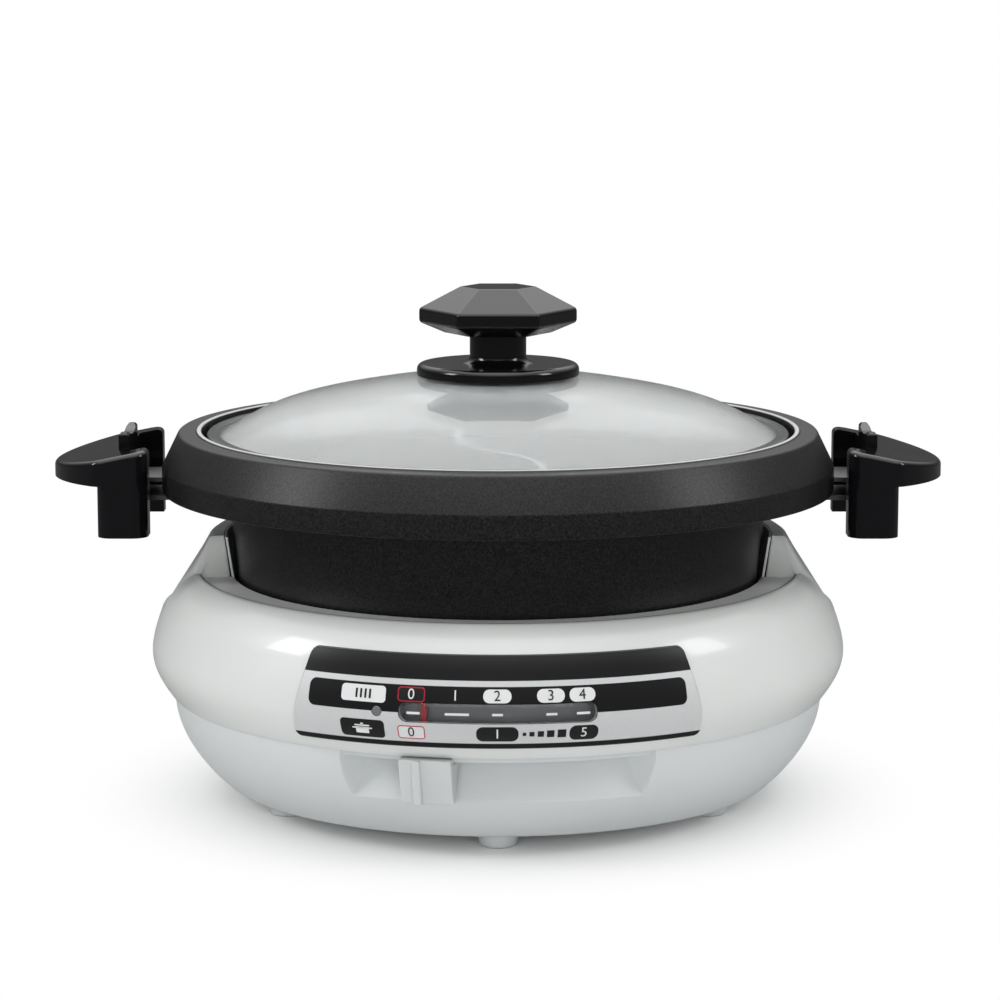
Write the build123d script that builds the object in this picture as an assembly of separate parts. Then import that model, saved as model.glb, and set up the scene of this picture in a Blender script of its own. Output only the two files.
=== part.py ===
from build123d import *
import os
from math import asin, cos, degrees, radians, sin

# Electric skillet: a base with a heater, a pan that lifts out of it and a glass lid that lifts off the pan.
# Millimetres. The origin is on the table under the centre of the base, +Z is up and the panel faces -Y.

# Clearances
run_gap = 0.3
slide_gap = 0.6
screw_gap = 0.1
over = 1.0

# Pan, heights measured down from its rim. The radii of the whole skillet follow from its foot ring.
foot_ring_r = 115.4
foot_ring_width = 11.0
foot_ring_height = 5.4
foot_ring_proud = 1.6
foot_notch = 19.0
foot_step = 1.8
foot_chamfer = 0.9
pan_height = 86.2
pan_flare = 4.7
pan_wall = 3.6
lip_out = 12.5
lip_depth = 8.0
ledge_width = 6.6
rim_width = 10.2
rim_thick = 4.8
rim_chamfer = 1.4
wall_top_drop = 32.0
floor_thick = 6.2
floor_corner = 10.0
skirt_out = 7.7
skirt_drop = 27.0
skirt_band = 10.6
skirt_wall = 3.2
skirt_soft = 0.7
wall_foot_r = foot_ring_r + foot_step
wall_top_r = wall_foot_r + pan_flare
lip_r = wall_top_r + lip_out
ledge_r = lip_r - ledge_width
rim_out_r = lip_r + rim_width
skirt_r = rim_out_r + skirt_out

# Lid ledge notches and the scoop pocket in the pan wall
notch_width = 7.0
notch_depth = 1.6
notch_angle = 28.0
notch_roof = 2.0
pocket_r = 24.0
pocket_wall = 3.0
pocket_angle = 73.5
pocket_in = 21.4
pocket_drop = 28.0
pocket_centre_r = wall_top_r - pocket_in

# S-shaped divider
divider_wall = 3.2
divider_sway = 19.0
divider_drop = 9.5
divider_steps = 8

# Heat liner round the pan, reflector dish under it and the pads that the pan stands on
pan_room = 1.6
liner_wall = 1.0
liner_taper = 6.0
dish_wall = 0.8
dish_depth = 19.1
dish_flat = 13.5
dish_slope = 28.0
dish_hole_r = 12.5
rest_count = 3
rest_r = 5.0
rest_height = 1.6
rest_in = 5.9
rest_turn = 90.0
liner_r = wall_top_r + pan_room
liner_foot_r = liner_r - liner_taper
dish_flat_r = liner_foot_r - dish_flat
dish_floor_r = dish_flat_r - dish_slope
rest_ring_r = foot_ring_r - rest_in

# Base heights, from the table up
foot_height = 8.0
lower_shell_height = 39.6
upper_shell_height = 54.8
rear_rise = 16.5
belly_up = 15.6
shoulder_up = 38.0

# Base radii and walls, from the liner out
rim_land = 14.9
shoulder_out = 14.6
belly_out = 4.4
parting_in = 8.4
parting_step = 1.2
bottom_in = 23.0
bottom_bulge = 5.5
rim_lip = 2.6
rim_step = 1.6
shell_wall = 2.6
rear_ledge = 1.4
rear_top_out = 7.5
rear_knee_drop = 7.0
rear_knee_out = 4.0
rear_front_angle = 9.0
rim_r = liner_r + rim_land
shoulder_r = rim_r + shoulder_out
belly_r = shoulder_r + belly_out
parting_r = belly_r - parting_in
bottom_r = parting_r - bottom_in
rear_top_r = liner_r + rear_top_out

# Lever recess under the front of the upper shell, angles from the front centre line
recess_floor_angle = 23.5
recess_mouth_angle = 27.0
recess_in = 15.0
recess_low_in = 6.4
recess_drop = 21.6
slot_in = 8.5
slot_wide = 4.0
recess_top_r = parting_r - recess_in
recess_low_r = parting_r - recess_low_in
roof_r = parting_r - parting_step - shell_wall
slot_r = parting_r - slot_in

# Heater ring
heater_tube_r = 4.0
heater_in = 49.4
heater_stand = 1.4
heater_gap_angle = 46.0
heater_lead = 16.0
clip_count = 3
clip_width = 12.0
clip_thick = 3.0
heater_ring_r = foot_ring_r - heater_in

# Lid
lid_room = 2.3
band_height = 6.5
band_depth = 5.6
band_wall = 1.3
band_round = 1.0
glass_thick = 3.9
dome_rise = 26.0
dome_land_r = 24.0
glass_hole_r = 4.4
band_r = lip_r - lid_room

# Knob
gasket_r = 21.0
gasket_thick = 0.8
knob_base_r = 36.8
knob_base_thick = 5.2
knob_base_round = 2.9
stem_r = 12.8
stem_flare = 4.0
stem_height = 13.6
cap_sides = 6
cap_r = 36.0
cap_foot_r = 24.0
cap_top_r = 17.0
cap_foot_height = 5.0
cap_band_height = 6.0
cap_crown_height = 10.0
cap_round = 2.2
knob_screw_r = 3.9
knob_screw_head_r = 5.6
knob_screw_head = 3.0
knob_washer_r = 9.5
knob_washer_thick = 1.4
knob_screw_bite = 9.0

# Handles, heights measured down from the pan rim
handle_gap = 3.3
handle_leg = 22.4
handle_reach = 45.6
handle_half_length = 45.0
handle_top_drop = 5.0
handle_slope = 9.5
handle_under_drop = 21.0
handle_foot_drop = 44.2
handle_end_round = 7.0
handle_soft = 2.4
handle_channel = 10.4
handle_channel_half = 30.0
handle_ridge = 4.6
handle_ridge_wide = 4.4
handle_ridge_half = 19.0
handle_ridge_round = 1.8
handle_ridge_dip = 2.6
handle_face_x = skirt_r + handle_gap

# Handle brackets
bracket_sheet = 2.0
bracket_half_width = 16.0
bracket_top_drop = 21.0
bracket_low_drop = 31.4
bracket_reach_in = 15.0
bracket_screw_r = 2.4
bracket_screw_head_r = 4.2
bracket_screw_head = 2.6
bracket_screw_half = 9.0
bracket_screw_in = 6.5
bracket_screw_bite = 4.0
boss_r = 5.0
handle_screw_length = 9.0
handle_screw_head_r = 3.0

# Front panel, its window and its lamp, as seen from the front
panel_low_half = 84.5
panel_top_half = 75.6
panel_low_up = 5.8
panel_high_up = 44.0
panel_corner = 5.0
panel_thick = 0.9
panel_seat = 0.15
window_half = 41.0
window_low_up = 16.8
window_high_up = 25.1
window_round = 3.6
window_thick = 1.6
scale_wall = 0.8
scale_back = 6.2
scale_margin = 1.0
scale_tab = 2.0
lamp_gap = 8.9
lamp_up = 20.8
lamp_lens_r = 2.1
lamp_r = 3.2
lamp_length = 14.0
lamp_angle = -degrees(asin((window_half + lamp_gap) / belly_r))

# Temperature lever
lever_off_angle = -11.6
lever_swing = 25.2
lever_width = 22.4
lever_height = 17.4
lever_low_in = 2.0
lever_top_out = 3.6
lever_ridge = 3.4
lever_ridge_side = 3.4
lever_neck = 8.0
lever_neck_deep = 2.6
arm_width = 13.0
arm_thick = 2.0
arm_up = 1.2
arm_hub_r = 10.0
pointer_wide = 2.6
pointer_wall = 1.0
pointer_foot = 4.0
pointer_margin = 0.6
pointer_bend = 2.4
pointer_stand = 2.2
shaft_r = 3.0
shaft_head_r = 5.0
shaft_head = 2.0
shaft_bite = 3.0

# Thermostat, with the sensor in front of the shaft
thermostat_height = 8.0
thermostat_width = 32.0
thermostat_back = 18.0
thermostat_round = 4.0
sensor_gap = 24.0
sensor_cap_r = 10.0
sensor_cap = 4.0
sensor_stem_r = 5.0
sensor_travel = 2.5
sensor_bite = 2.2
sensor_out = heater_ring_r - sensor_gap

# Electrics inside the base
fuse_r = 3.0
fuse_length = 18.0
fuse_offset_x = 46.0
fuse_clip = 1.4
block_margin = 10.0
block_width = 20.0
block_height = 16.0
block_step = 0.6
block_wire = 0.8
inlet_width = 44.0
inlet_height = 22.0
inlet_length = 26.0
inlet_wall = 3.0
inlet_up = 7.0
pin_r = 2.4
pin_gap = 17.0
pin_length = 13.0
pin_tail = 5.0
wire_r = 1.5
wire_bend = 3.0
wire_run = 5.0
wire_rise = 9.0

# Case screws, bosses and feet
screw_out = 4.2
screw_angles = (45.0, 135.0, 195.0, 345.0)
screw_seat = 0.45
column_r = 4.4
screw_r = 1.8
screw_head_r = 3.4
screw_head = 2.4
screw_bite = 13.0
foot_count = 6
foot_r = 9.2
foot_in = 18.0
foot_taper = 1.0
screw_ring_r = bottom_r + screw_out
foot_ring = bottom_r - foot_in

# Levels worked out from the sizes above
bottom_z = foot_height
floor_z = bottom_z + shell_wall
parting_z = bottom_z + lower_shell_height
front_rim_z = parting_z + upper_shell_height
rear_top_z = front_rim_z + rear_rise
belly_z = parting_z + belly_up
shoulder_z = parting_z + shoulder_up
shelf_z = front_rim_z - rim_step - liner_wall
arm_z = parting_z + arm_up
thermostat_z = arm_z + arm_thick + run_gap
dish_floor_z = thermostat_z + thermostat_height + dish_wall
dish_edge_z = dish_floor_z + dish_depth
heater_z = dish_floor_z + heater_stand + heater_tube_r
pan_seat_z = dish_edge_z + rest_height
pan_under_z = pan_seat_z + foot_ring_proud
cavity_floor_z = pan_under_z + floor_thick
pan_rim_z = pan_seat_z + pan_height
ledge_z = pan_rim_z - lip_depth
rim_under_z = pan_rim_z - rim_thick
screw_seat_z = bottom_z + lower_shell_height * screw_seat
glass_rim_z = ledge_z + band_height - band_wall
glass_top_z = glass_rim_z + dome_rise
glass_edge_r = band_r - band_wall
knob_base_z = glass_top_z + gasket_thick
stem_z = knob_base_z + knob_base_thick
cap_z = stem_z + stem_height
front = -90.0
behind = 90.0


# Closed outline of (radius, height) points turned about the upright axis
def turned(points, start=0.0, sweep=360.0):
    face = Plane.XZ * make_face(Polyline(*points, close=True).edges())
    return Rot(0, 0, start) * revolve(face, Axis.Z, sweep)


# Same, for an outline made of lines and curves
def turned_edges(edges, start=0.0, sweep=360.0):
    face = Plane.XZ * make_face(edges)
    return Rot(0, 0, start) * revolve(face, Axis.Z, sweep)


# Upright tube or disc between two heights
def disc(radius, low, high, bore=0.0, at=(0, 0)):
    solid = Pos(at[0], at[1], (low + high) / 2) * Cylinder(radius, high - low)
    if bore:
        solid -= Pos(at[0], at[1], (low + high) / 2) * Cylinder(bore, high - low + over)
    return solid


# Box between two corners
def block(low, high):
    size = [b - a for a, b in zip(low, high)]
    middle = [(a + b) / 2 for a, b in zip(low, high)]
    return Pos(*middle) * Box(*size)


# Point on a circle in plan
def polar(radius, angle):
    return radius * cos(radians(angle)), radius * sin(radians(angle))


# Keeps the separate solids of a repeated piece in one node
def group(solids):
    return Compound(children=[s.solid() for s in solids])


# Outer curve of the base body from the parting line to the shoulder, set in by a wall
def body_curve(inset=0.0):
    return Spline(
        (parting_r - inset, parting_z),
        (belly_r - inset, belly_z),
        (shoulder_r - inset, shoulder_z),
        tangents=((0.75, 1.0), (-0.35, 1.0)),
    )


# Radius of the body's outer curve at a height
def body_radius(z, inset=0.0):
    cut = body_curve(inset).intersect(Line((0, z), (2 * belly_r, z)))
    return cut.X if isinstance(cut, Vector) else cut.vertices()[0].X


# Rounded shoulder from the body to the front rim, set in by a wall
def shoulder_curve(inset=0.0):
    return Spline(
        (shoulder_r - inset, shoulder_z),
        (rim_r - inset * 0.4, front_rim_z - inset),
        tangents=((-0.35, 1.0), (-1.0, 0.42)),
    )


def upper_shell():
    w = shell_wall
    # belly band, all the way round
    outer, inner = body_curve(), body_curve(w)
    solid = turned_edges([outer, Line(outer @ 1, inner @ 1), inner, Line(inner @ 0, outer @ 0)])
    # low front with a rim lip and a shelf that carries the liner's flange
    crown, under = shoulder_curve(), shoulder_curve(w)
    shelf_in = liner_r + liner_wall + run_gap
    lip_in = rim_r - rim_lip
    front_edges = [
        crown,
        Line((rim_r, front_rim_z), (lip_in, front_rim_z)),
        Line((lip_in, front_rim_z), (lip_in, shelf_z)),
        Line((lip_in, shelf_z), (shelf_in, shelf_z)),
        Line((shelf_in, shelf_z), (shelf_in, shelf_z - w)),
        Line((shelf_in, shelf_z - w), under @ 1),
        under,
        Line(under @ 0, crown @ 0),
    ]
    front_sweep = 180.0 - 2 * rear_front_angle
    solid += turned_edges(front_edges, 180.0 + rear_front_angle, front_sweep)
    # raised rear wall, a hollow ridge with closed ends
    low_r = shoulder_r - rear_ledge
    knee_r, knee_z = rear_top_r + rear_knee_out, rear_top_z - rear_knee_drop
    ridge = [(low_r - w, shoulder_z), (low_r, shoulder_z), (knee_r, knee_z), (rear_top_r, rear_top_z),
             (shelf_in, rear_top_z), (shelf_in, shelf_z - w)]
    hollow = [(low_r - w, shoulder_z - over), (low_r - w, shoulder_z), (knee_r - w, knee_z - w / 2),
              (rear_top_r - w / 2, rear_top_z - w), (shelf_in - over, rear_top_z - w),
              (shelf_in - over, shoulder_z - over)]
    rear_start = -rear_front_angle
    rear_sweep = 180.0 + 2 * rear_front_angle
    end_sweep = degrees(w / rim_r)
    solid += (turned(ridge, rear_start, rear_sweep)
              - turned(hollow, rear_start + end_sweep, rear_sweep - 2 * end_sweep))
    # screw columns hang from the shelf in front and from the ridge's outer wall behind
    for angle in screw_angles:
        x, y = polar(screw_ring_r, angle)
        top = shelf_z - w / 2 if y < 0 else knee_z
        solid += disc(column_r, parting_z, top, at=(x, y))
    for angle in screw_angles:
        spot = polar(screw_ring_r, angle)
        solid -= disc(screw_r + screw_gap, parting_z - over, parting_z + screw_bite + over, at=spot)
    # window and lamp holes
    solid -= window_block(0.0)
    solid -= lamp_axis() * Cylinder(lamp_lens_r + screw_gap, 4 * lamp_length)
    return solid.solid()


# Straight passage of the window from the front, shrunk all round by a gap
def window_block(gap):
    height = window_high_up - window_low_up - 2 * gap
    outline = RectangleRounded(2 * (window_half - gap), height, window_round - gap)
    middle = parting_z + (window_low_up + window_high_up) / 2
    return extrude(Plane.XZ * Pos(0, middle) * outline, 2 * belly_r)


# Frame of the pilot lamp, its Z axis out through the panel
def lamp_axis():
    z = parting_z + lamp_up
    x, y = polar(body_radius(z), front + lamp_angle)
    return Location(Plane(origin=(x, y, z), z_dir=(x, y, 0)))


def front_panel():
    low, high = parting_z + panel_low_up, parting_z + panel_high_up
    skin, face = body_curve(-panel_seat), body_curve(-panel_thick)
    crown, crown_face = shoulder_curve(-panel_seat), shoulder_curve(-panel_thick)
    plate = turned_edges([skin, Line(skin @ 1, face @ 1), face, Line(face @ 0, skin @ 0)])
    plate += turned_edges([crown, Line(crown @ 1, crown_face @ 1), crown_face,
                           Line(crown_face @ 0, crown @ 0)])
    outline = Polyline((-panel_low_half, low), (panel_low_half, low), (panel_top_half, high),
                       (-panel_top_half, high), close=True)
    outline = fillet(make_face(outline.edges()).vertices(), panel_corner)
    plate = plate & extrude(Plane.XZ * outline, 2 * belly_r)
    plate -= window_block(0.0)
    plate -= lamp_axis() * Cylinder(lamp_lens_r + screw_gap, 4 * lamp_length)
    return plate.solid()


# Clear strip that closes the window, flush with the panel
def window_lens():
    face, back = body_curve(-panel_thick), body_curve(window_thick - panel_thick)
    strip = turned_edges([face, Line(face @ 1, back @ 1), back, Line(back @ 0, face @ 0)])
    return (strip & window_block(screw_gap)).solid()


# Dark strip behind the pointer, held to the shell by a tab at each end
def scale_strip():
    low, high = parting_z + window_low_up - scale_margin, parting_z + window_high_up + scale_margin
    half = degrees(asin((window_half + scale_tab) / belly_r))
    r = belly_r - shell_wall - scale_back
    sheet = [(r, low), (r + scale_wall, low), (r + scale_wall, high), (r, high)]
    strip = turned(sheet, front - half, 2 * half)
    tab_sweep = degrees(scale_tab / belly_r)
    tab = [(r, low), (belly_r, low), (belly_r, high), (r, high)]
    for start in (front - half, front + half - tab_sweep):
        strip += turned(tab, start, tab_sweep)
    inner = body_curve(shell_wall)
    hollow = turned_edges([inner, Line(inner @ 1, (0, shoulder_z)), Line((0, shoulder_z), (0, parting_z)),
                           Line((0, parting_z), inner @ 0)])
    return (strip & hollow).solid()


def lamp_lens():
    return (lamp_axis() * Pos(0, 0, -shell_wall / 2 + panel_thick / 2) * Cylinder(
        lamp_lens_r, shell_wall + panel_thick)).solid()


def pilot_lamp():
    z = parting_z + lamp_up
    inside = min(body_radius(z - lamp_r), body_radius(z + lamp_r)) - shell_wall
    half = asin(lamp_r / inside)
    depth = inside * cos(half)
    lamp = Pos(0, 0, depth - body_radius(z) - lamp_length / 2) * Cylinder(lamp_r, lamp_length)
    return (lamp_axis() * lamp).solid()


# Outline of the lower shell's outside, from the bottom edge to the parting line
def lower_curve(inset=0.0):
    top_r = parting_r - parting_step - inset
    low_r = bottom_r - inset
    middle = ((top_r + low_r) / 2 + bottom_bulge, (bottom_z + parting_z) / 2)
    return ThreePointArc((low_r, bottom_z), middle, (top_r, parting_z))


def lower_hull(inset=0.0):
    curve = lower_curve(inset)
    return turned_edges([Line((0, bottom_z), curve @ 0), curve, Line(curve @ 1, (0, parting_z)),
                         Line((0, parting_z), (0, bottom_z))])


def lower_shell():
    w = shell_wall
    hollow = lower_hull(w) & disc(2 * belly_r, floor_z, parting_z)
    solid = lower_hull() - hollow
    # lever recess: a leaning floor, slanted ends and a roof that stops under the upper shell's edge
    solid += recess_room(w, parting_z) & lower_hull()
    solid -= recess_room(0.0, parting_z - w)
    solid -= recess_plan(0.0) & disc(2 * belly_r, parting_z - w - over, parting_z + over, bore=roof_r)
    # slot for the lever's neck
    reach = lever_swing / 2 + degrees((lever_neck / 2 + slide_gap) / slot_r)
    middle = front + lever_off_angle + lever_swing / 2
    deep = slot_wide / 2
    solid -= turned([(slot_r - deep, parting_z - 2 * w), (slot_r + deep, parting_z - 2 * w),
                     (slot_r + deep, parting_z + over), (slot_r - deep, parting_z + over)],
                    middle - reach, 2 * reach)
    # screw columns and their counterbores
    for angle in screw_angles:
        solid += disc(column_r, bottom_z, parting_z, at=polar(screw_ring_r, angle)) & lower_hull()
    for angle in screw_angles:
        spot = polar(screw_ring_r, angle)
        solid -= disc(screw_r + screw_gap, bottom_z - over, parting_z + over, at=spot)
        solid -= disc(screw_head_r + screw_gap, bottom_z - over, screw_seat_z, at=spot)
    # opening for the power inlet
    solid -= inlet_block(run_gap)
    return solid.solid()


# Radius of the recess floor at a height
def recess_at(z):
    low, high = parting_z - recess_drop, parting_z - shell_wall
    return recess_top_r + (recess_low_r - recess_top_r) * (high - z) / (high - low)


# Upright prism over the recess with its ends slanted outwards, grown at the ends by a wall
def recess_plan(grow):
    turn = degrees(grow / recess_top_r)
    corners = []
    for side in (1, -1):
        inner = Vector(*polar(recess_top_r, front + side * (recess_floor_angle + turn)))
        mouth = Vector(*polar(parting_r, front + side * (recess_mouth_angle + turn)))
        pair = [inner, inner + (mouth - inner) * 3]
        corners += pair if side > 0 else pair[::-1]
    return extrude(make_face(Polyline(*corners, close=True).edges()), parting_z + over)


# Space of the recess in front of its leaning floor, grown by a wall
def recess_room(grow, high):
    low = parting_z - recess_drop - grow
    outside = 2 * belly_r
    outline = [(recess_at(low) - grow, low), (outside, low), (outside, high), (recess_at(high) - grow, high)]
    return turned(outline) & recess_plan(grow)


# Outside of the inlet housing, grown all round by a gap
def inlet_block(gap):
    low = floor_z + inlet_up - gap
    half = inlet_width / 2 + gap
    deep = bottom_r - inlet_length - gap
    return block((-half, deep, low), (half, 2 * belly_r, floor_z + inlet_up + inlet_height + gap))


def inlet_housing():
    body = inlet_block(0.0) & lower_hull()
    low = floor_z + inlet_up
    half = inlet_width / 2 - inlet_wall
    back = bottom_r - inlet_length + inlet_wall
    body -= block((-half, back, low + inlet_wall), (half, 2 * belly_r, low + inlet_height - inlet_wall))
    for x in (-pin_gap / 2, pin_gap / 2):
        body -= inlet_pin(x, screw_gap)
    return body.solid()


def inlet_pin(x, gap=0.0):
    back = bottom_r - inlet_length
    z = floor_z + inlet_up + inlet_height / 2
    length = pin_length + inlet_wall + pin_tail
    return Pos(x, back - pin_tail + length / 2, z) * Rot(90, 0, 0) * Cylinder(pin_r + gap, length)


# Metal wall round the pan: high behind, low in front with a flange on the shelf
def heat_liner():
    solid = turned(liner_outline(front_rim_z - rim_step))
    solid += turned(liner_outline(rear_top_z), -rear_front_angle, 180.0 + 2 * rear_front_angle)
    inside, flange_out = liner_at(shelf_z) + liner_wall / 2, rim_r - rim_lip - run_gap
    gap = degrees(run_gap / rim_r)
    solid += turned([(inside, shelf_z), (flange_out, shelf_z), (flange_out, shelf_z + liner_wall),
                     (inside, shelf_z + liner_wall)], 180.0 + rear_front_angle + gap,
                    180.0 - 2 * (rear_front_angle + gap))
    return solid.solid()


# Inner radius of the liner, which narrows down to the dish
def liner_at(z):
    return liner_foot_r + liner_taper * (z - dish_edge_z) / (rear_top_z - dish_edge_z)


# Section of the liner's wall from the dish up to a height
def liner_outline(high):
    low = dish_edge_z
    return [(liner_at(low), low), (liner_at(low) + liner_wall, low), (liner_at(high) + liner_wall, high),
            (liner_at(high), high)]


# Meridian of the dish from its edge down to its flat floor, moved down by its sheet
def dish_face(down=0.0):
    high, low = dish_edge_z - down, dish_floor_z - down
    return [
        Line((liner_foot_r + liner_wall, high), (dish_flat_r, high)),
        Spline((dish_flat_r, high), (dish_floor_r, low), tangents=((-1.0, 0.0), (-1.0, 0.0))),
        Line((dish_floor_r, low), (0, low)),
    ]


def reflector_dish():
    top, under = dish_face(), dish_face(dish_wall)
    dish = turned_edges([*top, Line(top[0] @ 0, under[0] @ 0), *under, Line(top[-1] @ 1, under[-1] @ 1)])
    for angle in heater_ends():
        dish -= disc(heater_tube_r + run_gap, 0, dish_edge_z, at=polar(heater_ring_r, angle))
    dish -= disc(dish_hole_r, 0, dish_edge_z, at=(0, -sensor_out))
    return dish.solid()


# Plan angles where the heater ring's ends turn down
def heater_ends():
    return behind - heater_gap_angle / 2, behind + heater_gap_angle / 2


def heater_element():
    sweep = 360.0 - heater_gap_angle
    section = Plane.XZ * Pos(heater_ring_r, heater_z) * Circle(heater_tube_r)
    tube = Rot(0, 0, heater_ends()[1]) * revolve(section, Axis.Z, sweep)
    for angle in heater_ends():
        x, y = polar(heater_ring_r, angle)
        tube += Pos(x, y, heater_z) * Sphere(heater_tube_r)
        tube += disc(heater_tube_r, dish_floor_z - heater_lead, heater_z, at=(x, y))
    return tube.solid()


# Upright plates on the dish floor with a saddle for the heater tube
def heater_clips():
    torus = Pos(0, 0, heater_z) * Torus(heater_ring_r, heater_tube_r)
    clips = []
    for i in range(clip_count):
        angle = front + i * 360.0 / clip_count
        plate = block((heater_ring_r - clip_width / 2, -clip_thick / 2, dish_floor_z),
                      (heater_ring_r + clip_width / 2, clip_thick / 2, heater_z))
        clips.append(Rot(0, 0, angle) * plate - torus)
    return group(clips)


# Pads on the dish's flat edge that the pan's foot ring stands on
def pan_rests():
    spots = [polar(rest_ring_r, rest_turn + i * 360.0 / rest_count) for i in range(rest_count)]
    return group([disc(rest_r, dish_edge_z, pan_seat_z, at=spot) for spot in spots])


# Flat case over the lever's arm: the shaft enters from below, the sensor from above
def thermostat_body():
    top = dish_floor_z - dish_wall
    half, spot = thermostat_width / 2, (0, -sensor_out)
    body = block((-half, -sensor_out - half, thermostat_z), (half, thermostat_back, top))
    body = fillet(body.edges().filter_by(Axis.Z), thermostat_round)
    body += disc(dish_hole_r - run_gap, top, dish_floor_z, at=spot)
    pressed = sensor_low_z() - sensor_travel
    body -= disc(sensor_stem_r + run_gap, pressed - run_gap, dish_floor_z + over, at=spot)
    body -= disc(shaft_r + run_gap, thermostat_z - over, thermostat_z + shaft_bite)
    return body.solid()


# Height of the sensor stem's lower end
def sensor_low_z():
    return dish_floor_z - sensor_bite


def sensor_plunger():
    top, spot = pan_under_z - run_gap, (0, -sensor_out)
    cap = disc(sensor_cap_r, top - sensor_cap, top, at=spot)
    cap = fillet(cap.edges().group_by(Axis.Z)[-1], sensor_cap / 4)
    return (cap + disc(sensor_stem_r, sensor_low_z(), top - sensor_cap, at=spot)).solid()


def thermostat_shaft():
    head = disc(shaft_head_r, arm_z - shaft_head, arm_z)
    return (head + disc(shaft_r, arm_z, thermostat_z + shaft_bite - run_gap)).solid()


# Plan angle of the lever at rest
def lever_angle():
    return front + lever_off_angle


def lever_arm():
    reach = slot_r + lever_neck_deep
    strip = block((0, -arm_width / 2, arm_z), (reach, arm_width / 2, arm_z + arm_thick))
    arm = strip + disc(arm_hub_r, arm_z, arm_z + arm_thick)
    arm -= disc(shaft_r, arm_z - over, arm_z + arm_thick + over)
    return (Rot(0, 0, lever_angle()) * arm).solid()


def lever_knob():
    top = parting_z - shell_wall - slide_gap
    low, peak = top - lever_height, parting_z - slide_gap
    body = lever_block(low, top, peak, 0.0, lever_width)
    # finger ridge down the face, a neck up to the arm
    body += Pos(0, -lever_ridge_side, 0) * lever_block(low, top, peak, lever_ridge, lever_ridge)
    neck_in = slot_r - lever_neck_deep / 2
    body += block((neck_in, -lever_neck / 2, top), (neck_in + lever_neck_deep, lever_neck / 2, arm_z))
    return (Rot(0, 0, lever_angle()) * body).solid()


# Wedge that fills the recess and leans out with the shell, its face moved out at the foot
def lever_block(low, top, peak, proud, width):
    face_low, face_top = parting_r - lever_low_in + proud, parting_r + lever_top_out + proud / 2
    step = roof_r + slide_gap
    side = Polyline((recess_at(low) + slide_gap, low), (face_low, low), (face_top, peak), (step, peak),
                    (step, top), (recess_at(top) + slide_gap, top), close=True)
    return extrude(Plane.XZ * make_face(side.edges()), width / 2, both=True)


# Red strip that stands on the arm and shows in the window
def pointer():
    low, t = arm_z + arm_thick, pointer_wall
    bend = parting_z + window_low_up - pointer_bend
    high = parting_z + window_high_up - pointer_margin
    face = belly_r - shell_wall - scale_back + scale_wall + pointer_stand
    foot_out = slot_r + lever_neck_deep
    foot_in = foot_out - pointer_foot
    outline = Polyline(
        (foot_in, low), (foot_out, low), (foot_out, bend - t), (face + t, bend), (face + t, high),
        (face, high), (face, bend + t), (foot_out - t, bend), (foot_out - t, low + t), (foot_in, low + t),
        close=True)
    strip = extrude(Plane.XZ * make_face(outline.edges()), pointer_wide / 2, both=True)
    return (Rot(0, 0, lever_angle()) * strip).solid()


def thermal_fuse():
    top = dish_floor_z - dish_wall
    tube = Pos(fuse_offset_x, 0, top - fuse_clip - fuse_r) * Rot(90, 0, 0) * Cylinder(fuse_r, fuse_length)
    strap = block((fuse_offset_x - fuse_r, -fuse_r, top - fuse_clip - fuse_r),
                  (fuse_offset_x + fuse_r, fuse_r, top))
    return (tube + strap).solid()


def terminal_block():
    half, middle = block_half(), heater_ring_r
    top = floor_z + block_height
    body = block((-half, middle - block_width / 2, floor_z), (half, middle + block_width / 2, top))
    step = block((-half - over, middle - block_width / 2 - over, floor_z + block_height * block_step),
                 (half + over, middle - block_width / 4, top + over))
    return (body - step).solid()


# Half length of the terminal block, between the heater's ends
def block_half():
    return polar(heater_ring_r, heater_ends()[0])[0] - block_margin


# Insulated wires: inlet to terminal block, terminal block to the heater's ends
def wiring():
    wires = []
    pin_z = floor_z + inlet_up + inlet_height / 2
    block_z = floor_z + block_height * block_wire
    back = bottom_r - inlet_length - pin_tail
    block_back = heater_ring_r + block_width / 2
    middle = (back + block_back) / 2
    for side in (-1, 1):
        x = side * pin_gap / 2
        lead = FilletPolyline((x, back, pin_z), (x, middle + wire_run, pin_z),
                              (x, middle - wire_run, block_z), (x, block_back, block_z), radius=wire_bend)
        wires.append(sweep(Plane(lead @ 0, z_dir=lead % 0) * Circle(wire_r), lead))
        end_x, end_y = polar(heater_ring_r, heater_ends()[0])
        end_x *= side
        riser = FilletPolyline((side * block_half(), heater_ring_r, block_z), (end_x, heater_ring_r, block_z),
                               (end_x, end_y, block_z + wire_rise), (end_x, end_y, dish_floor_z - heater_lead),
                               radius=wire_bend)
        wires.append(sweep(Plane(riser @ 0, z_dir=riser % 0) * Circle(wire_r), riser))
    return group(wires)


def feet():
    pads = []
    for i in range(foot_count):
        spot = polar(foot_ring, front + i * 360.0 / foot_count)
        pad = Pos(spot[0], spot[1], foot_height / 2) * Cone(foot_r - foot_taper, foot_r, foot_height)
        pads.append(pad)
    return group(pads)


def case_screws():
    screws = []
    for angle in screw_angles:
        spot = polar(screw_ring_r, angle)
        screws.append(disc(screw_head_r, screw_seat_z - screw_head, screw_seat_z, at=spot)
                      + disc(screw_r, screw_seat_z, parting_z + screw_bite, at=spot))
    return group(screws)


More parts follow.
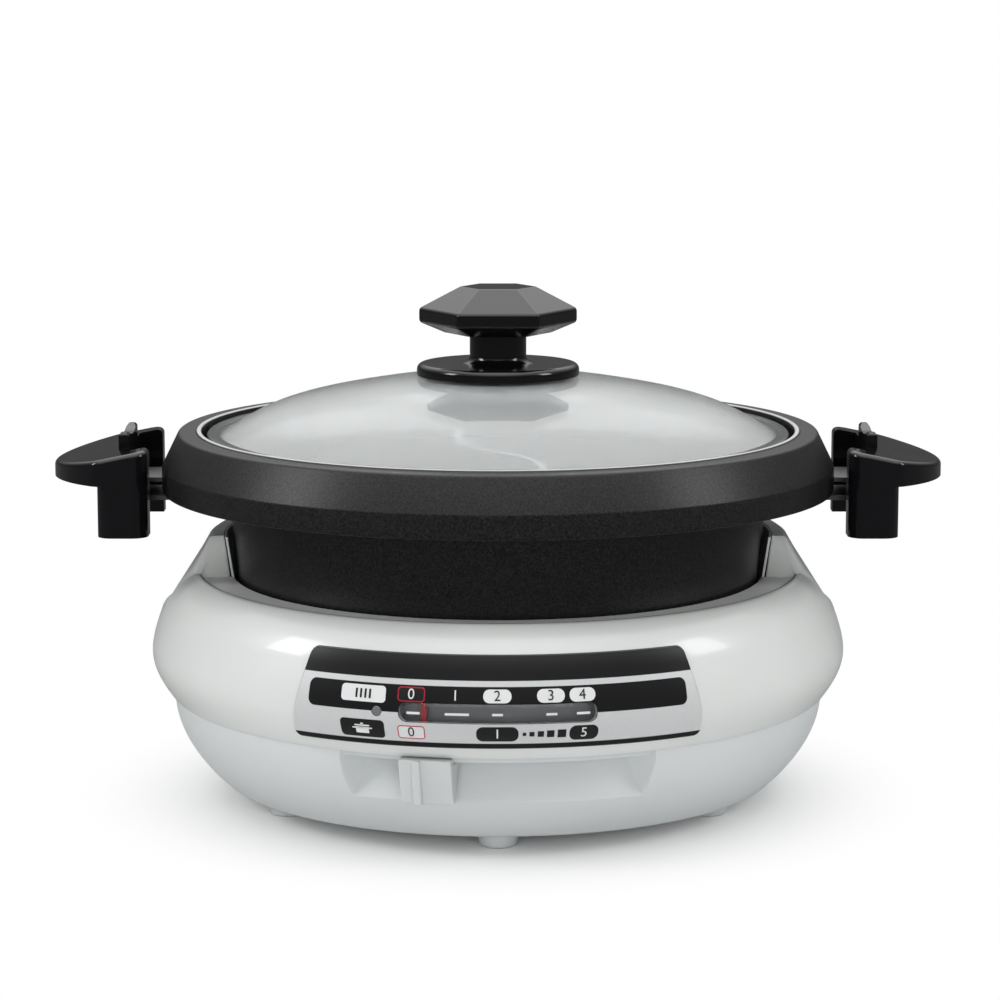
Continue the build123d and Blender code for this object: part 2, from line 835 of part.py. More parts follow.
# Inside of the pan as a solid, from the floor up to the ledge
def pan_cavity():
    floor = cavity_floor_z
    foot_in = wall_foot_r - pan_wall
    wall_in = wall_top_r - pan_wall
    mid_z = pan_rim_z - wall_top_drop
    slope = (wall_in - foot_in) / (mid_z - floor)
    corner = floor_corner
    edges = [
        Line((0, floor), (foot_in - corner, floor)),
        ThreePointArc((foot_in - corner, floor), (foot_in - corner * 0.29, floor + corner * 0.29),
                      (foot_in + slope * corner, floor + corner)),
        Line((foot_in + slope * corner, floor + corner), (wall_in, mid_z)),
        Spline((wall_in, mid_z), (ledge_r, ledge_z), tangents=((slope, 1.0), (0.45, 1.0))),
        Line((ledge_r, ledge_z), (0, ledge_z)),
        Line((0, ledge_z), (0, floor)),
    ]
    return turned_edges(edges)


def pan_body():
    band_z, skirt_z = pan_rim_z - skirt_drop + skirt_band, pan_rim_z - skirt_drop
    mid_z, ring_z = pan_rim_z - wall_top_drop, pan_seat_z + foot_ring_height
    skirt_in, under_out = skirt_r - skirt_wall, lip_r + pan_wall
    foot_in_r = foot_ring_r - foot_ring_width
    # outside, from the rim round the skirt and down the wall to the foot ring
    shape = [(0, pan_rim_z), (rim_out_r - rim_chamfer, pan_rim_z),
             (rim_out_r + skirt_soft, pan_rim_z - rim_chamfer), (skirt_r - skirt_soft, band_z + rim_chamfer),
             (skirt_r, band_z - skirt_soft), (skirt_r, skirt_z), (skirt_in, skirt_z),
             (skirt_in, band_z - rim_chamfer), (rim_out_r - skirt_wall, rim_under_z), (under_out, rim_under_z)]
    foot = [(wall_top_r, mid_z), (wall_foot_r, ring_z + rim_chamfer), (foot_ring_r + foot_chamfer, ring_z),
            (foot_ring_r, ring_z), (foot_ring_r, pan_seat_z), (foot_in_r, pan_seat_z),
            (foot_in_r, pan_under_z), (0, pan_under_z), (0, pan_rim_z)]
    sweep_in = Spline(shape[-1], foot[0], tangents=((-0.05, -1.0), (-0.1, -1.0)))
    pan = turned_edges([*Polyline(*shape).edges(), sweep_in, *Polyline(*foot).edges()])
    # scoop pocket: a round bulge outside, hollowed from inside
    px, py = polar(pocket_centre_r, pocket_angle)
    pocket_spot = Pos(px, py, pan_rim_z - pocket_drop)
    pan += (pocket_spot * Sphere(pocket_r + pocket_wall)) & disc(skirt_in, ring_z, rim_under_z)
    # bosses for the handle brackets
    for spot in bracket_spots():
        pan += disc(boss_r, pan_rim_z - bracket_low_drop + bracket_sheet, rim_under_z + over, at=spot)
    # inside, with the lid's ledge and its notches
    pan -= pan_cavity()
    pan -= disc(lip_r, ledge_z, pan_rim_z + over)
    pan -= (pocket_spot * Sphere(pocket_r)) & disc(lip_r, cavity_floor_z + floor_corner, ledge_z)
    for angle in notch_angles():
        half, notch_z = notch_width / 2, pan_rim_z - notch_roof
        pan -= Rot(0, 0, angle) * block((ledge_r, -half, ledge_z), (lip_r + notch_depth, half, notch_z))
    # slot across the front of the foot ring, threads for the bracket screws
    pan -= block((-foot_notch / 2, -wall_foot_r, pan_seat_z - over), (foot_notch / 2, 0, pan_under_z))
    thread_r, thread_z = bracket_screw_r + screw_gap, pan_rim_z - bracket_low_drop
    for spot in bracket_spots():
        pan -= disc(thread_r, thread_z, bracket_screw_top() + over, at=spot)
    return pan.solid()


def notch_angles():
    return [middle + side * notch_angle for middle in (behind, front) for side in (-1, 1)]


# Plan positions of the bracket screws, two on each side
def bracket_spots():
    x = skirt_r - bracket_screw_in - bracket_screw_head_r
    return [(sx * x, sy * bracket_screw_half) for sx in (-1, 1) for sy in (-1, 1)]


# Height of the bracket screws' tips in the pan's bosses
def bracket_screw_top():
    return pan_rim_z - bracket_top_drop + bracket_screw_bite


def pan_divider():
    reach = wall_top_r
    points = [(0, -reach), (divider_sway, -reach / 2), (0, 0), (-divider_sway, reach / 2), (0, reach)]
    line = Spline(*points)
    ribbon = make_face([offset_line(line, divider_wall / 2), *offset_ends(line, divider_wall / 2),
                        offset_line(line, -divider_wall / 2)])
    wall = Pos(0, 0, cavity_floor_z) * extrude(ribbon, pan_rim_z - divider_drop - cavity_floor_z)
    return (wall & pan_cavity()).solid()


# The divider's centre line moved sideways by half its wall
def offset_line(line, away):
    moved = []
    for t in [i / divider_steps for i in range(divider_steps + 1)]:
        tangent = line % t
        spot = line @ t
        moved.append((spot.X - tangent.Y * away, spot.Y + tangent.X * away))
    return Spline(*moved)


def offset_ends(line, away):
    one, two = offset_line(line, away), offset_line(line, -away)
    return Line(one @ 0, two @ 0), Line(one @ 1, two @ 1)


# Steel bracket on the right: a shelf under the skirt, a web and a top tongue that meets the skirt
def bracket():
    half, t = bracket_half_width, bracket_sheet
    low, high = pan_rim_z - bracket_low_drop, pan_rim_z - bracket_top_drop
    web = handle_face_x + handle_channel
    shelf = block((skirt_r - bracket_reach_in, -half, low), (web, half, low + t))
    shelf += block((web - t, -half, low), (web, half, high))
    tongue = block((skirt_r - bracket_reach_in, -half, high - t), (web, half, high))
    shelf += tongue - disc(skirt_r, 0, pan_rim_z)
    for x, y in bracket_spots():
        shelf -= disc(bracket_screw_r + screw_gap, low - over, low + t + over, at=(x, y))
    for y in (-bracket_screw_half, bracket_screw_half):
        shelf -= handle_screw_axis(y) * Cylinder(bracket_screw_r + screw_gap, 4 * t)
    return shelf.solid()


# Frame of a handle screw, its Z axis out of the pan into the handle
def handle_screw_axis(y):
    middle = pan_rim_z - (bracket_low_drop + bracket_top_drop) / 2
    return Pos(handle_face_x + handle_channel, y, middle) * Rot(0, 90, 0)


def handle():
    half, face = handle_half_length, handle_face_x
    leg_x, tip_x = face + handle_leg, face + handle_reach
    top, under, foot = (pan_rim_z - d for d in (handle_top_drop, handle_under_drop, handle_foot_drop))
    plan = make_face([Line((face, -half), (leg_x, -half)),
                      ThreePointArc((leg_x, -half), (tip_x, 0), (leg_x, half)),
                      Line((leg_x, half), (face, half)), Line((face, half), (face, -half))])
    plan = fillet(plan.vertices(), handle_end_round)
    grip = Pos(0, 0, under) * extrude(plan, top - under)
    leg_plan = Pos(face + handle_leg / 2, 0) * RectangleRounded(handle_leg, 2 * half, handle_end_round)
    body = grip + Pos(0, 0, foot) * extrude(leg_plan, under - foot)
    # top slopes down and out from the pan, with a rounded edge
    slope = Polyline((face, top), (tip_x + over, top - handle_slope), (tip_x + over, top + over),
                     (face, top + over), close=True)
    body -= extrude(Plane.XZ * make_face(slope.edges()), 2 * half, both=True)
    body = fillet(body.faces().sort_by(Axis.Z)[-1].edges(), handle_soft)
    # channel for the bracket, beside it a thumb ridge that dips in the middle
    ridge_x = face + handle_channel
    ridge_top = top + handle_ridge
    ridge = block((ridge_x, -handle_ridge_half, under),
                  (ridge_x + handle_ridge_wide, handle_ridge_half, ridge_top))
    ridge = fillet(ridge.edges().group_by(Axis.Z)[-1], handle_ridge_round)
    dip_half = handle_ridge_half - handle_ridge_wide
    dip_r = (dip_half ** 2 + handle_ridge_dip ** 2) / (2 * handle_ridge_dip)
    dip = Rot(0, 90, 0) * Cylinder(dip_r, 4 * handle_ridge_wide)
    body += ridge - Pos(ridge_x, 0, ridge_top - handle_ridge_dip + dip_r) * dip
    body -= block((face - over, -handle_channel_half, foot - over), (ridge_x, handle_channel_half, ridge_top))
    for y in (-bracket_screw_half, bracket_screw_half):
        body -= handle_screw_axis(y) * Cylinder(bracket_screw_r + screw_gap, 2 * handle_screw_length)
    return body.solid()


def bracket_screws():
    low = pan_rim_z - bracket_low_drop
    screws = []
    for spot in bracket_spots():
        screws.append(disc(bracket_screw_head_r, low - bracket_screw_head, low, at=spot)
                      + disc(bracket_screw_r, low, bracket_screw_top(), at=spot))
    return group(screws)


def handle_screws():
    screws = []
    for y in (-bracket_screw_half, bracket_screw_half):
        head = Pos(0, 0, -bracket_sheet - bracket_screw_head / 2) * Cylinder(
            handle_screw_head_r, bracket_screw_head)
        shank = Pos(0, 0, (handle_screw_length - over - bracket_sheet) / 2) * Cylinder(
            bracket_screw_r, handle_screw_length - over + bracket_sheet)
        screw = handle_screw_axis(y) * (head + shank)
        screws += [screw, mirror(screw, Plane.YZ)]
    return group(screws)


# Meridian of the glass, moved down by a thickness
def glass_curve(down=0.0):
    rise = dome_rise
    edge = band_r - band_depth
    return Spline(
        (edge, glass_rim_z - down), (edge * 0.84, glass_rim_z + rise * 0.415 - down),
        (edge * 0.52, glass_rim_z + rise * 0.82 - down), (dome_land_r, glass_top_z - down),
        tangents=((-1.0, 0.5), (-1.0, 0.0)))


def lid_glass():
    top, under = glass_curve(), glass_curve(glass_thick)
    edge = glass_edge_r
    edges = [
        Line((edge, glass_rim_z - glass_thick), (edge, glass_rim_z)), Line((edge, glass_rim_z), top @ 0), top,
        Line(top @ 1, (glass_hole_r, glass_top_z)),
        Line((glass_hole_r, glass_top_z), (glass_hole_r, glass_top_z - glass_thick)),
        Line((glass_hole_r, glass_top_z - glass_thick), under @ 1), under,
        Line(under @ 0, (edge, glass_rim_z - glass_thick)),
    ]
    return turned_edges(edges).solid()


def lid_rim_band():
    inside, edge = band_r - band_depth, glass_edge_r
    low, high = ledge_z, ledge_z + band_height
    soft = band_round
    outline = [
        (inside, low), (band_r - soft, low), (band_r, low + soft), (band_r, high - soft),
        (band_r - soft, high), (inside, high), (inside, glass_rim_z), (edge, glass_rim_z),
        (edge, glass_rim_z - glass_thick),
        (inside, glass_rim_z - glass_thick),
    ]
    return turned(outline).solid()


def knob_gasket():
    return disc(gasket_r, glass_top_z, knob_base_z, bore=glass_hole_r).solid()


def knob_base():
    plate = disc(knob_base_r, knob_base_z, stem_z)
    plate = fillet(plate.edges().group_by(Axis.Z)[-1], knob_base_round)
    return (plate - disc(knob_screw_r + screw_gap, knob_base_z - over, stem_z + over)).solid()


def lid_knob():
    foot_z = cap_z + cap_foot_height
    band_z = foot_z + cap_band_height
    foot, middle, crown = (RegularPolygon(r, cap_sides) for r in (cap_foot_r, cap_r, cap_top_r))
    cap = loft([Pos(0, 0, cap_z) * foot, Pos(0, 0, foot_z) * middle], ruled=True)
    cap += Pos(0, 0, foot_z) * extrude(middle, cap_band_height)
    cap += loft([Pos(0, 0, band_z) * middle, Pos(0, 0, band_z + cap_crown_height) * crown], ruled=True)
    cap = fillet(cap.edges(), cap_round)
    flare = stem_r + stem_flare
    stem = [Line((0, stem_z), (flare, stem_z)),
            RadiusArc((flare, stem_z), (stem_r, stem_z + stem_flare), stem_flare),
            Line((stem_r, stem_z + stem_flare), (stem_r, cap_z + cap_round)),
            Line((stem_r, cap_z + cap_round), (0, cap_z + cap_round)),
            Line((0, cap_z + cap_round), (0, stem_z))]
    knob = cap + turned_edges(stem)
    return (knob - disc(knob_screw_r + screw_gap, stem_z - over, stem_z + knob_screw_bite + over)).solid()


def knob_washer():
    high = glass_top_z - glass_thick
    return disc(knob_washer_r, high - knob_washer_thick, high, bore=glass_hole_r).solid()


def knob_screw():
    seat = glass_top_z - glass_thick - knob_washer_thick
    head = disc(knob_screw_head_r, seat - knob_screw_head, seat)
    head = fillet(head.edges().group_by(Axis.Z)[0], knob_screw_head / 3)
    return (head + disc(knob_screw_r, seat, stem_z + knob_screw_bite)).solid()


nodes = {
    "upper_shell": upper_shell(),
    "lower_shell": lower_shell(),
    "front_panel": front_panel(),
    "window_lens": window_lens(),
    "scale_strip": scale_strip(),
    "pilot_lamp": pilot_lamp(),
    "lamp_lens": lamp_lens(),
    "heat_liner": heat_liner(),
    "reflector_dish": reflector_dish(),
    "heater_element": heater_element(),
    "heater_clips": heater_clips(),
    "pan_rests": pan_rests(),
    "thermostat_body": thermostat_body(),
    "thermal_fuse": thermal_fuse(),
    "terminal_block": terminal_block(),
    "inlet_housing": inlet_housing(),
    "inlet_pins": group([inlet_pin(x) for x in (-pin_gap / 2, pin_gap / 2)]),
    "wiring": wiring(),
    "feet": feet(),
    "case_screws": case_screws(),
    "lever_knob": lever_knob(),
    "lever_arm": lever_arm(),
    "pointer": pointer(),
    "thermostat_shaft": thermostat_shaft(),
    "sensor_plunger": sensor_plunger(),
    "pan_body": pan_body(),
    "pan_divider": pan_divider(),
    "handle_bracket_right": bracket(),
    "handle_bracket_left": mirror(bracket(), Plane.YZ),
    "handle_right": handle(),
    "handle_left": mirror(handle(), Plane.YZ),
    "bracket_screws": bracket_screws(),
    "handle_screws": handle_screws(),
    "lid_glass": lid_glass(),
    "lid_rim_band": lid_rim_band(),
    "knob_gasket": knob_gasket(),
    "knob_base": knob_base(),
    "lid_knob": lid_knob(),
    "knob_washer": knob_washer(),
    "knob_screw": knob_screw(),
}

os.makedirs("parts", exist_ok=True)
for name, solid in nodes.items():
    export_step(solid, f"parts/{name}.step")
print(len(nodes), "nodes")
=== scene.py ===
import math

import bmesh
import bpy
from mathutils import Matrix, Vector


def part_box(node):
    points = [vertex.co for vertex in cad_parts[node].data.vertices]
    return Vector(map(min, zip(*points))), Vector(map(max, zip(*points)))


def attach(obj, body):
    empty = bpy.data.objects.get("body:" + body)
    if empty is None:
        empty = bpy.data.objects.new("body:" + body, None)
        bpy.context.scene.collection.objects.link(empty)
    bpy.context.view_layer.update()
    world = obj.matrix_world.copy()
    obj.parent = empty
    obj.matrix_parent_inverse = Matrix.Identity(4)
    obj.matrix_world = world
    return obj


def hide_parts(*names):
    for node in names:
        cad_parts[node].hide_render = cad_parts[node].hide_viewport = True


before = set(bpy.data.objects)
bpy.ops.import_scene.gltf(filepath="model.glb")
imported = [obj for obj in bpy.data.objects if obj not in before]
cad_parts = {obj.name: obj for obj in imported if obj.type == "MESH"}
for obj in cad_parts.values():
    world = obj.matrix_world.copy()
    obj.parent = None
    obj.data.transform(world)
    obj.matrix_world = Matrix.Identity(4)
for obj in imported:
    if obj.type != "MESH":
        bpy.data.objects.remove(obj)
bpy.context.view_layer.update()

scene = bpy.context.scene
scene.view_settings.view_transform = "Standard"
mm = 0.001
print("frame:", len(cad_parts), "nodes")

# Camera of the photograph: metres and degrees, lens and sensor in millimetres
photoCamera = {"back": 1.467, "height": 0.366, "aside": 0.0009, "pitch": 9.03, "lens": 117.2, "sensor": 36.0}

# Floor, backdrop and the room that mirrors see
studio = {"floorSize": 40.0, "shadowNear": 0.09, "shadowFar": 0.2, "floorWhite": 0.86, "floorGlow": 0.14,
          "ambient": 0.38, "roomBack": 0.12, "roomUp": 0.97, "roomFrom": 0.2, "roomTo": 1.0, "roomDim": 0.1,
          "roomBright": 3.0, "sideFrom": 0.2, "sideTo": 0.9, "sideDim": 0.6, "floorRough": 0.6,
          "floorShine": 0.1}

# Softboxes round the table; each looks at the middle of the object
softboxes = {
    "overhead": {"at": (0.0, 0.25, 1.7), "size": (2.6, 1.8), "power": 16.0, "mirrored": False},
    "frontFill": {"at": (0.0, -1.75, 0.40), "size": (1.5, 0.3), "power": 8.5, "mirrored": False},
    "sideLeft": {"at": (-1.45, -0.35, 1.0), "size": (0.45, 0.6), "power": 9.5, "mirrored": True},
    "sideRight": {"at": (1.45, -0.35, 1.0), "size": (0.45, 0.6), "power": 7.5, "mirrored": True},
    "behind": {"at": (0.0, 1.7, 1.1), "size": (1.6, 0.6), "power": 8.0, "mirrored": False},
}
lookAt = Vector((0.0, 0.0, 0.11))


def newObject(name, data):
    made = bpy.data.objects.new(name, data)
    scene.collection.objects.link(made)
    return made


def addCamera(spec):
    data = bpy.data.cameras.new("photoCamera")
    data.lens = spec["lens"]
    data.sensor_width = spec["sensor"]
    camera = newObject("photoCamera", data)
    camera.location = (spec["aside"], -spec["back"], spec["height"])
    camera.rotation_euler = (math.radians(90 - spec["pitch"]), 0, 0)
    scene.camera = camera


def addSoftboxes(specs):
    for name, spec in specs.items():
        data = bpy.data.lights.new(name, "AREA")
        data.shape = "RECTANGLE"
        data.size, data.size_y = spec["size"]
        data.energy = spec["power"]
        softbox = newObject(name, data)
        softbox.location = spec["at"]
        softbox.visible_glossy = spec["mirrored"]  # the wide ones leave no hard edges in the gloss
        softbox.rotation_euler = (lookAt - softbox.location).to_track_quat("-Z", "Y").to_euler()


# One socket of a node tree, with the maths that the finishes use
class Wire:
    def __init__(self, tree, socket=None):
        self.tree = tree
        self.socket = socket

    def node(self, kind, settings=None, inputs=None, out=0):
        made = self.tree.nodes.new("ShaderNode" + kind)
        for name, value in (settings or {}).items():
            setattr(made, name, value)
        for key, value in (inputs or {}).items():
            if isinstance(value, Wire):
                self.tree.links.new(value.socket, made.inputs[key])
            else:
                made.inputs[key].default_value = value
        return Wire(self.tree, made.outputs[out])

    def maths(self, operation, first, second=0.0):
        return self.node("Math", {"operation": operation}, {0: first, 1: second})

    def __add__(self, other):
        return self.maths("ADD", self, other)

    def __sub__(self, other):
        return self.maths("SUBTRACT", self, other)

    def __rsub__(self, other):
        return self.maths("SUBTRACT", other, self)

    def __mul__(self, other):
        return self.maths("MULTIPLY", self, other)

    __radd__ = __add__
    __rmul__ = __mul__

    def atLeast(self, other):
        return self.maths("MAXIMUM", self, other)

    def size(self):
        return self.maths("ABSOLUTE", self)

    def root(self):
        return self.maths("SQRT", self)

    # 0 below low, 1 above high, a soft step between
    def step(self, low, high):
        limits = {"Value": self, "From Min": low, "From Max": high}
        return self.node("MapRange", {"interpolation_type": "SMOOTHSTEP"}, limits)

    def into(self, shader, socketName):
        self.tree.links.new(self.socket, shader.inputs[socketName])


# A material with one Principled shader and its constant sockets set
def newFinish(name, constants):
    material = bpy.data.materials.new(name)
    material.use_nodes = True
    shader = material.node_tree.nodes["Principled BSDF"]
    for socketName, value in constants.items():
        shader.inputs[socketName].default_value = value
    return material, Wire(material.node_tree), shader


def objectPlace(wire):
    return wire.node("TexCoord", out="Object")


def axes(wire, place):
    split = wire.node("SeparateXYZ", inputs={"Vector": place})
    return [Wire(wire.tree, socket) for socket in split.socket.node.outputs]


def noise(wire, place, scale, detail=2.0, roughness=0.5):
    inputs = {"Vector": place, "Scale": scale, "Detail": detail, "Roughness": roughness}
    return wire.node("TexNoise", inputs=inputs)


def mixColours(wire, factor, first, second):
    inputs = {"Factor": factor, 6: first, 7: second}
    return wire.node("Mix", {"data_type": "RGBA"}, inputs, out=2)


def bump(wire, height, distance, strength=1.0):
    inputs = {"Height": height, "Distance": distance, "Strength": strength}
    return wire.node("Bump", inputs=inputs, out="Normal")


def tone(colour, factor=1.0):
    return (*[min(1.0, c * factor) for c in colour], 1.0)


# Colour that wanders between two brightnesses of itself
def mottled(wire, factor, colour, low, high):
    return mixColours(wire, factor, tone(colour, low), tone(colour, high))


# What the finishes share: noise scales per metre, spreads of gloss and tone, bump heights in metres
skins = {"cloudScale": 14.0, "polishScale": 60.0, "polishSpread": 0.1, "coatGloss": 0.06,
         "stainScale": 25.0, "stainSpread": 0.06, "lineBump": 0.00002, "bloomScale": 90.0, "bloomSpread": 0.2,
         "rubberScale": 700.0, "rubberBump": 0.00004, "filmScale": 30.0, "filmSpread": 0.03,
         "clearCoatGloss": 0.03, "lineStrength": 0.6, "bloomTone": (0.9, 1.12), "filmTone": (0.985, 1.0),
         "rubberIor": 1.45, "coatIor": 1.5}


# Moulded plastic: faint clouding, a little unevenness in its gloss, a fine skin
def plasticFinish(name, colour, gloss=0.3, cloud=0.04, grain=0.00002, grainScale=1400.0, coat=0.3, ior=1.5):
    constants = {"Coat Weight": coat, "Coat Roughness": skins["coatGloss"], "IOR": ior}
    material, wire, shader = newFinish(name, constants)
    place = objectPlace(wire)
    clouds = noise(wire, place, skins["cloudScale"], 3.0)
    mottled(wire, clouds, colour, 1 - cloud, 1 + cloud).into(shader, "Base Color")
    spread = skins["polishSpread"]
    (noise(wire, place, skins["polishScale"]) * spread + (gloss - spread / 2)).into(shader, "Roughness")
    bump(wire, noise(wire, place, grainScale, 1.0), grain).into(shader, "Normal")
    return material


# Sheet metal with fine lines; lines says which way they run: round the axis, up, or across
def metalFinish(name, colour, gloss=0.3, lines="round", spread=0.1, lineScale=900.0, stain=0.08, metal=1.0):
    material, wire, shader = newFinish(name, {"Metallic": metal})
    place = objectPlace(wire)
    x, y, z = axes(wire, place)
    radius = (x * x + y * y).root()
    along = {"round": (radius, z, 0.0), "up": (x, y, 0.0), "across": (0.0, y, z)}[lines]
    stretched = wire.node("CombineXYZ", inputs=dict(enumerate(along)))
    scratches = noise(wire, stretched, lineScale, 3.0, 0.6)
    stains = noise(wire, place, skins["stainScale"], 4.0)
    mottled(wire, stains, colour, 1 - stain, 1 + stain).into(shader, "Base Color")
    middle = gloss - (spread + skins["stainSpread"]) / 2
    (scratches * spread + stains * skins["stainSpread"] + middle).into(shader, "Roughness")
    bump(wire, scratches, skins["lineBump"], skins["lineStrength"]).into(shader, "Normal")
    return material


# Soft rubber or a cloth sleeve: matt, with a dusty bloom
def rubberFinish(name, colour, gloss=0.6):
    material, wire, shader = newFinish(name, {"IOR": skins["rubberIor"]})
    place = objectPlace(wire)
    bloom = noise(wire, place, skins["bloomScale"], 4.0)
    mottled(wire, bloom, colour, *skins["bloomTone"]).into(shader, "Base Color")
    spread = skins["bloomSpread"]
    (bloom * spread + (gloss - spread / 2)).into(shader, "Roughness")
    bump(wire, noise(wire, place, skins["rubberScale"]), skins["rubberBump"]).into(shader, "Normal")
    return material


# Clear material, slightly uneven in its polish
def clearFinish(name, colour, gloss=0.02, ior=1.5, clear=1.0, coat=0.0):
    constants = {"Transmission Weight": clear, "IOR": ior, "Coat Weight": coat, "Coat IOR": skins["coatIor"],
                 "Coat Roughness": skins["clearCoatGloss"]}
    material, wire, shader = newFinish(name, constants)
    film = noise(wire, objectPlace(wire), skins["filmScale"], 3.0)
    mottled(wire, film, colour, *skins["filmTone"]).into(shader, "Base Color")
    (film * skins["filmSpread"] + gloss).into(shader, "Roughness")
    return material


# Mask of a rounded box on the flat of two coordinates, 1 inside
def roundedBox(across, up, centre, half, radius, soft):
    outX = ((across - centre[0]).size() - (half[0] - radius)).atLeast(0.0)
    outZ = ((up - centre[1]).size() - (half[1] - radius)).atLeast(0.0)
    away = (outX * outX + outZ * outZ).root() - radius
    return 1 - away.step(-soft, soft)


# 1 for rays that show the backdrop itself: straight on or through glass
def backdropSeen(wire):
    path = wire.node("LightPath", out="Is Camera Ray")
    return path.atLeast(Wire(wire.tree, path.socket.node.outputs["Is Transmission Ray"]))


# White backdrop; mirrors see a room that is bright above, dim in front and at the sides
def whiteWorld(spec):
    world = bpy.data.worlds.new("studioWorld")
    world.use_nodes = True
    scene.world = world
    background = world.node_tree.nodes["Background"]
    wire = Wire(world.node_tree)
    x, y, z = axes(wire, wire.node("TexCoord", out="Generated"))
    above = y * spec["roomBack"] + z * spec["roomUp"]
    sides = 1 - x.size().step(spec["sideFrom"], spec["sideTo"]) * spec["sideDim"]
    room = above.step(spec["roomFrom"], spec["roomTo"]) * sides * spec["roomBright"] + spec["roomDim"]
    mirrored = wire.node("LightPath", out="Is Glossy Ray") * (room - spec["ambient"]) + spec["ambient"]
    seen = backdropSeen(wire)
    (seen * (1 - mirrored) + mirrored).into(background, "Strength")
    background.inputs["Color"].default_value = (1, 1, 1, 1)


# Pale floor that keeps the shadow near the object and is plain white further off
def paleFloor(spec):
    half = spec["floorSize"] / 2
    mesh = bpy.data.meshes.new("floor")
    corners = [(-half, -half, 0), (half, -half, 0), (half, half, 0), (-half, half, 0)]
    mesh.from_pydata(corners, [], [(0, 1, 2, 3)])
    floor = newObject("floor", mesh)
    white = (spec["floorWhite"],) * 3 + (1,)
    constants = {"Base Color": white, "Roughness": spec["floorRough"],
                 "Specular IOR Level": spec["floorShine"]}
    material, wire, shader = newFinish("floorWhite", constants)
    x, y, _ = axes(wire, objectPlace(wire))
    far = (x * x + y * y).root().step(spec["shadowNear"], spec["shadowFar"])
    straight = backdropSeen(wire)
    seen = straight.atLeast(wire.node("LightPath", out="Is Glossy Ray"))
    strength = straight * (1 - spec["floorGlow"]) + spec["floorGlow"]
    glow = wire.node("Emission", inputs={"Color": (1, 1, 1, 1), "Strength": strength})
    surface = Wire(wire.tree, shader.outputs[0])
    mixed = wire.node("MixShader", inputs={0: far * seen, 1: surface, 2: glow})
    mixed.into(wire.tree.nodes["Material Output"], "Surface")
    mesh.materials.append(material)


addCamera(photoCamera)
addSoftboxes(softboxes)
whiteWorld(studio)
paleFloor(studio)
print("studio: camera, softboxes, floor")


def vectors(*pairs):
    return [Vector(pair) for pair in pairs]


# Line of corners (x, z, radius), each turned into a small curve
def roundedLine(corners, closed=False, steps=5):
    line = []
    last = len(corners) - 1
    for i, (x, z, radius) in enumerate(corners):
        here = Vector((x, z))
        if radius == 0 or (not closed and i in (0, last)):
            line.append(here)
            continue
        before = Vector(corners[i - 1][:2]) - here
        after = Vector(corners[(i + 1) % len(corners)][:2]) - here
        reach = min(radius / math.tan(before.angle(after) / 2), 0.49 * before.length, 0.49 * after.length)
        start = here + before.normalized() * reach
        end = here + after.normalized() * reach
        for k in range(steps + 1):
            t = k / steps
            line.append(start.lerp(here, t).lerp(here.lerp(end, t), t))
    return line


# Smooth curve through points, with the directions of its two ends
def smoothLine(points, first, last, steps=12):
    spots = vectors(*points)
    spans = [(b - a).length for a, b in zip(spots, spots[1:])]
    slopes = [Vector(first).normalized()]
    for i in range(1, len(spots) - 1):
        before, after = spans[i - 1], spans[i]
        run = (spots[i] - spots[i - 1]) / before * after + (spots[i + 1] - spots[i]) / after * before
        slopes.append(run / (before + after))
    slopes.append(Vector(last).normalized())
    line = [spots[0]]
    for i, span in enumerate(spans):
        for k in range(1, steps + 1):
            s = k / steps
            rise = s * s * (3 - 2 * s)
            line.append(spots[i].lerp(spots[i + 1], rise) + slopes[i] * span * s * (1 - s) ** 2
                        - slopes[i + 1] * span * s * s * (1 - s))
    return line


# The same line with no run longer than a step
def refined(line, step):
    fine = [line[0]]
    for a, b in zip(line, line[1:]):
        count = max(1, math.ceil((b - a).length / step))
        fine += [a.lerp(b, k / count) for k in range(1, count + 1)]
    return fine


# The same line cut into a number of equal runs
def evenly(line, count):
    lengths = [0.0]
    for a, b in zip(line, line[1:]):
        lengths.append(lengths[-1] + (b - a).length)
    spots = []
    k = 0
    for i in range(count + 1):
        want = lengths[-1] * i / count
        while k < len(line) - 2 and lengths[k + 1] < want:
            k += 1
        run = max(lengths[k + 1] - lengths[k], 1e-9)
        spots.append(line[k].lerp(line[k + 1], (want - lengths[k]) / run))
    return spots


# Point at a plan angle from the front centre line, positive to the right
def around(radius, angle, z):
    return Vector((radius * math.sin(angle), -radius * math.cos(angle), z))


def turns(count):
    return [2 * math.pi * i / count for i in range(count)]


# Plan angles two degrees apart, once round from the back
def wholeTurn():
    return [math.radians(a) for a in range(-180, 180, 2)]


# Mesh over a net of points, its rows and columns closed or not
def netMesh(name, rows, loopRows=True, loopColumns=True):
    bm = bmesh.new()
    spots = [[bm.verts.new(p) for p in row] for row in rows]
    rowCount, columnCount = len(rows), len(rows[0])
    for i in range(rowCount if loopRows else rowCount - 1):
        here, there = spots[i], spots[(i + 1) % rowCount]
        for j in range(columnCount if loopColumns else columnCount - 1):
            k = (j + 1) % columnCount
            bm.faces.new((here[j], there[j], there[k], here[k]))
    return closedMesh(name, bm)


# Merges doubles, drops empty faces and turns the faces outwards
def closedMesh(name, bm):
    bmesh.ops.remove_doubles(bm, verts=bm.verts, dist=1e-6)
    bmesh.ops.dissolve_degenerate(bm, edges=bm.edges, dist=1e-6)
    holes = [edge for edge in bm.edges if edge.is_boundary]
    if holes:
        bmesh.ops.holes_fill(bm, edges=holes, sides=0)
    bmesh.ops.recalc_face_normals(bm, faces=bm.faces)
    mesh = bpy.data.meshes.new(name)
    bm.to_mesh(mesh)
    bm.free()
    return mesh


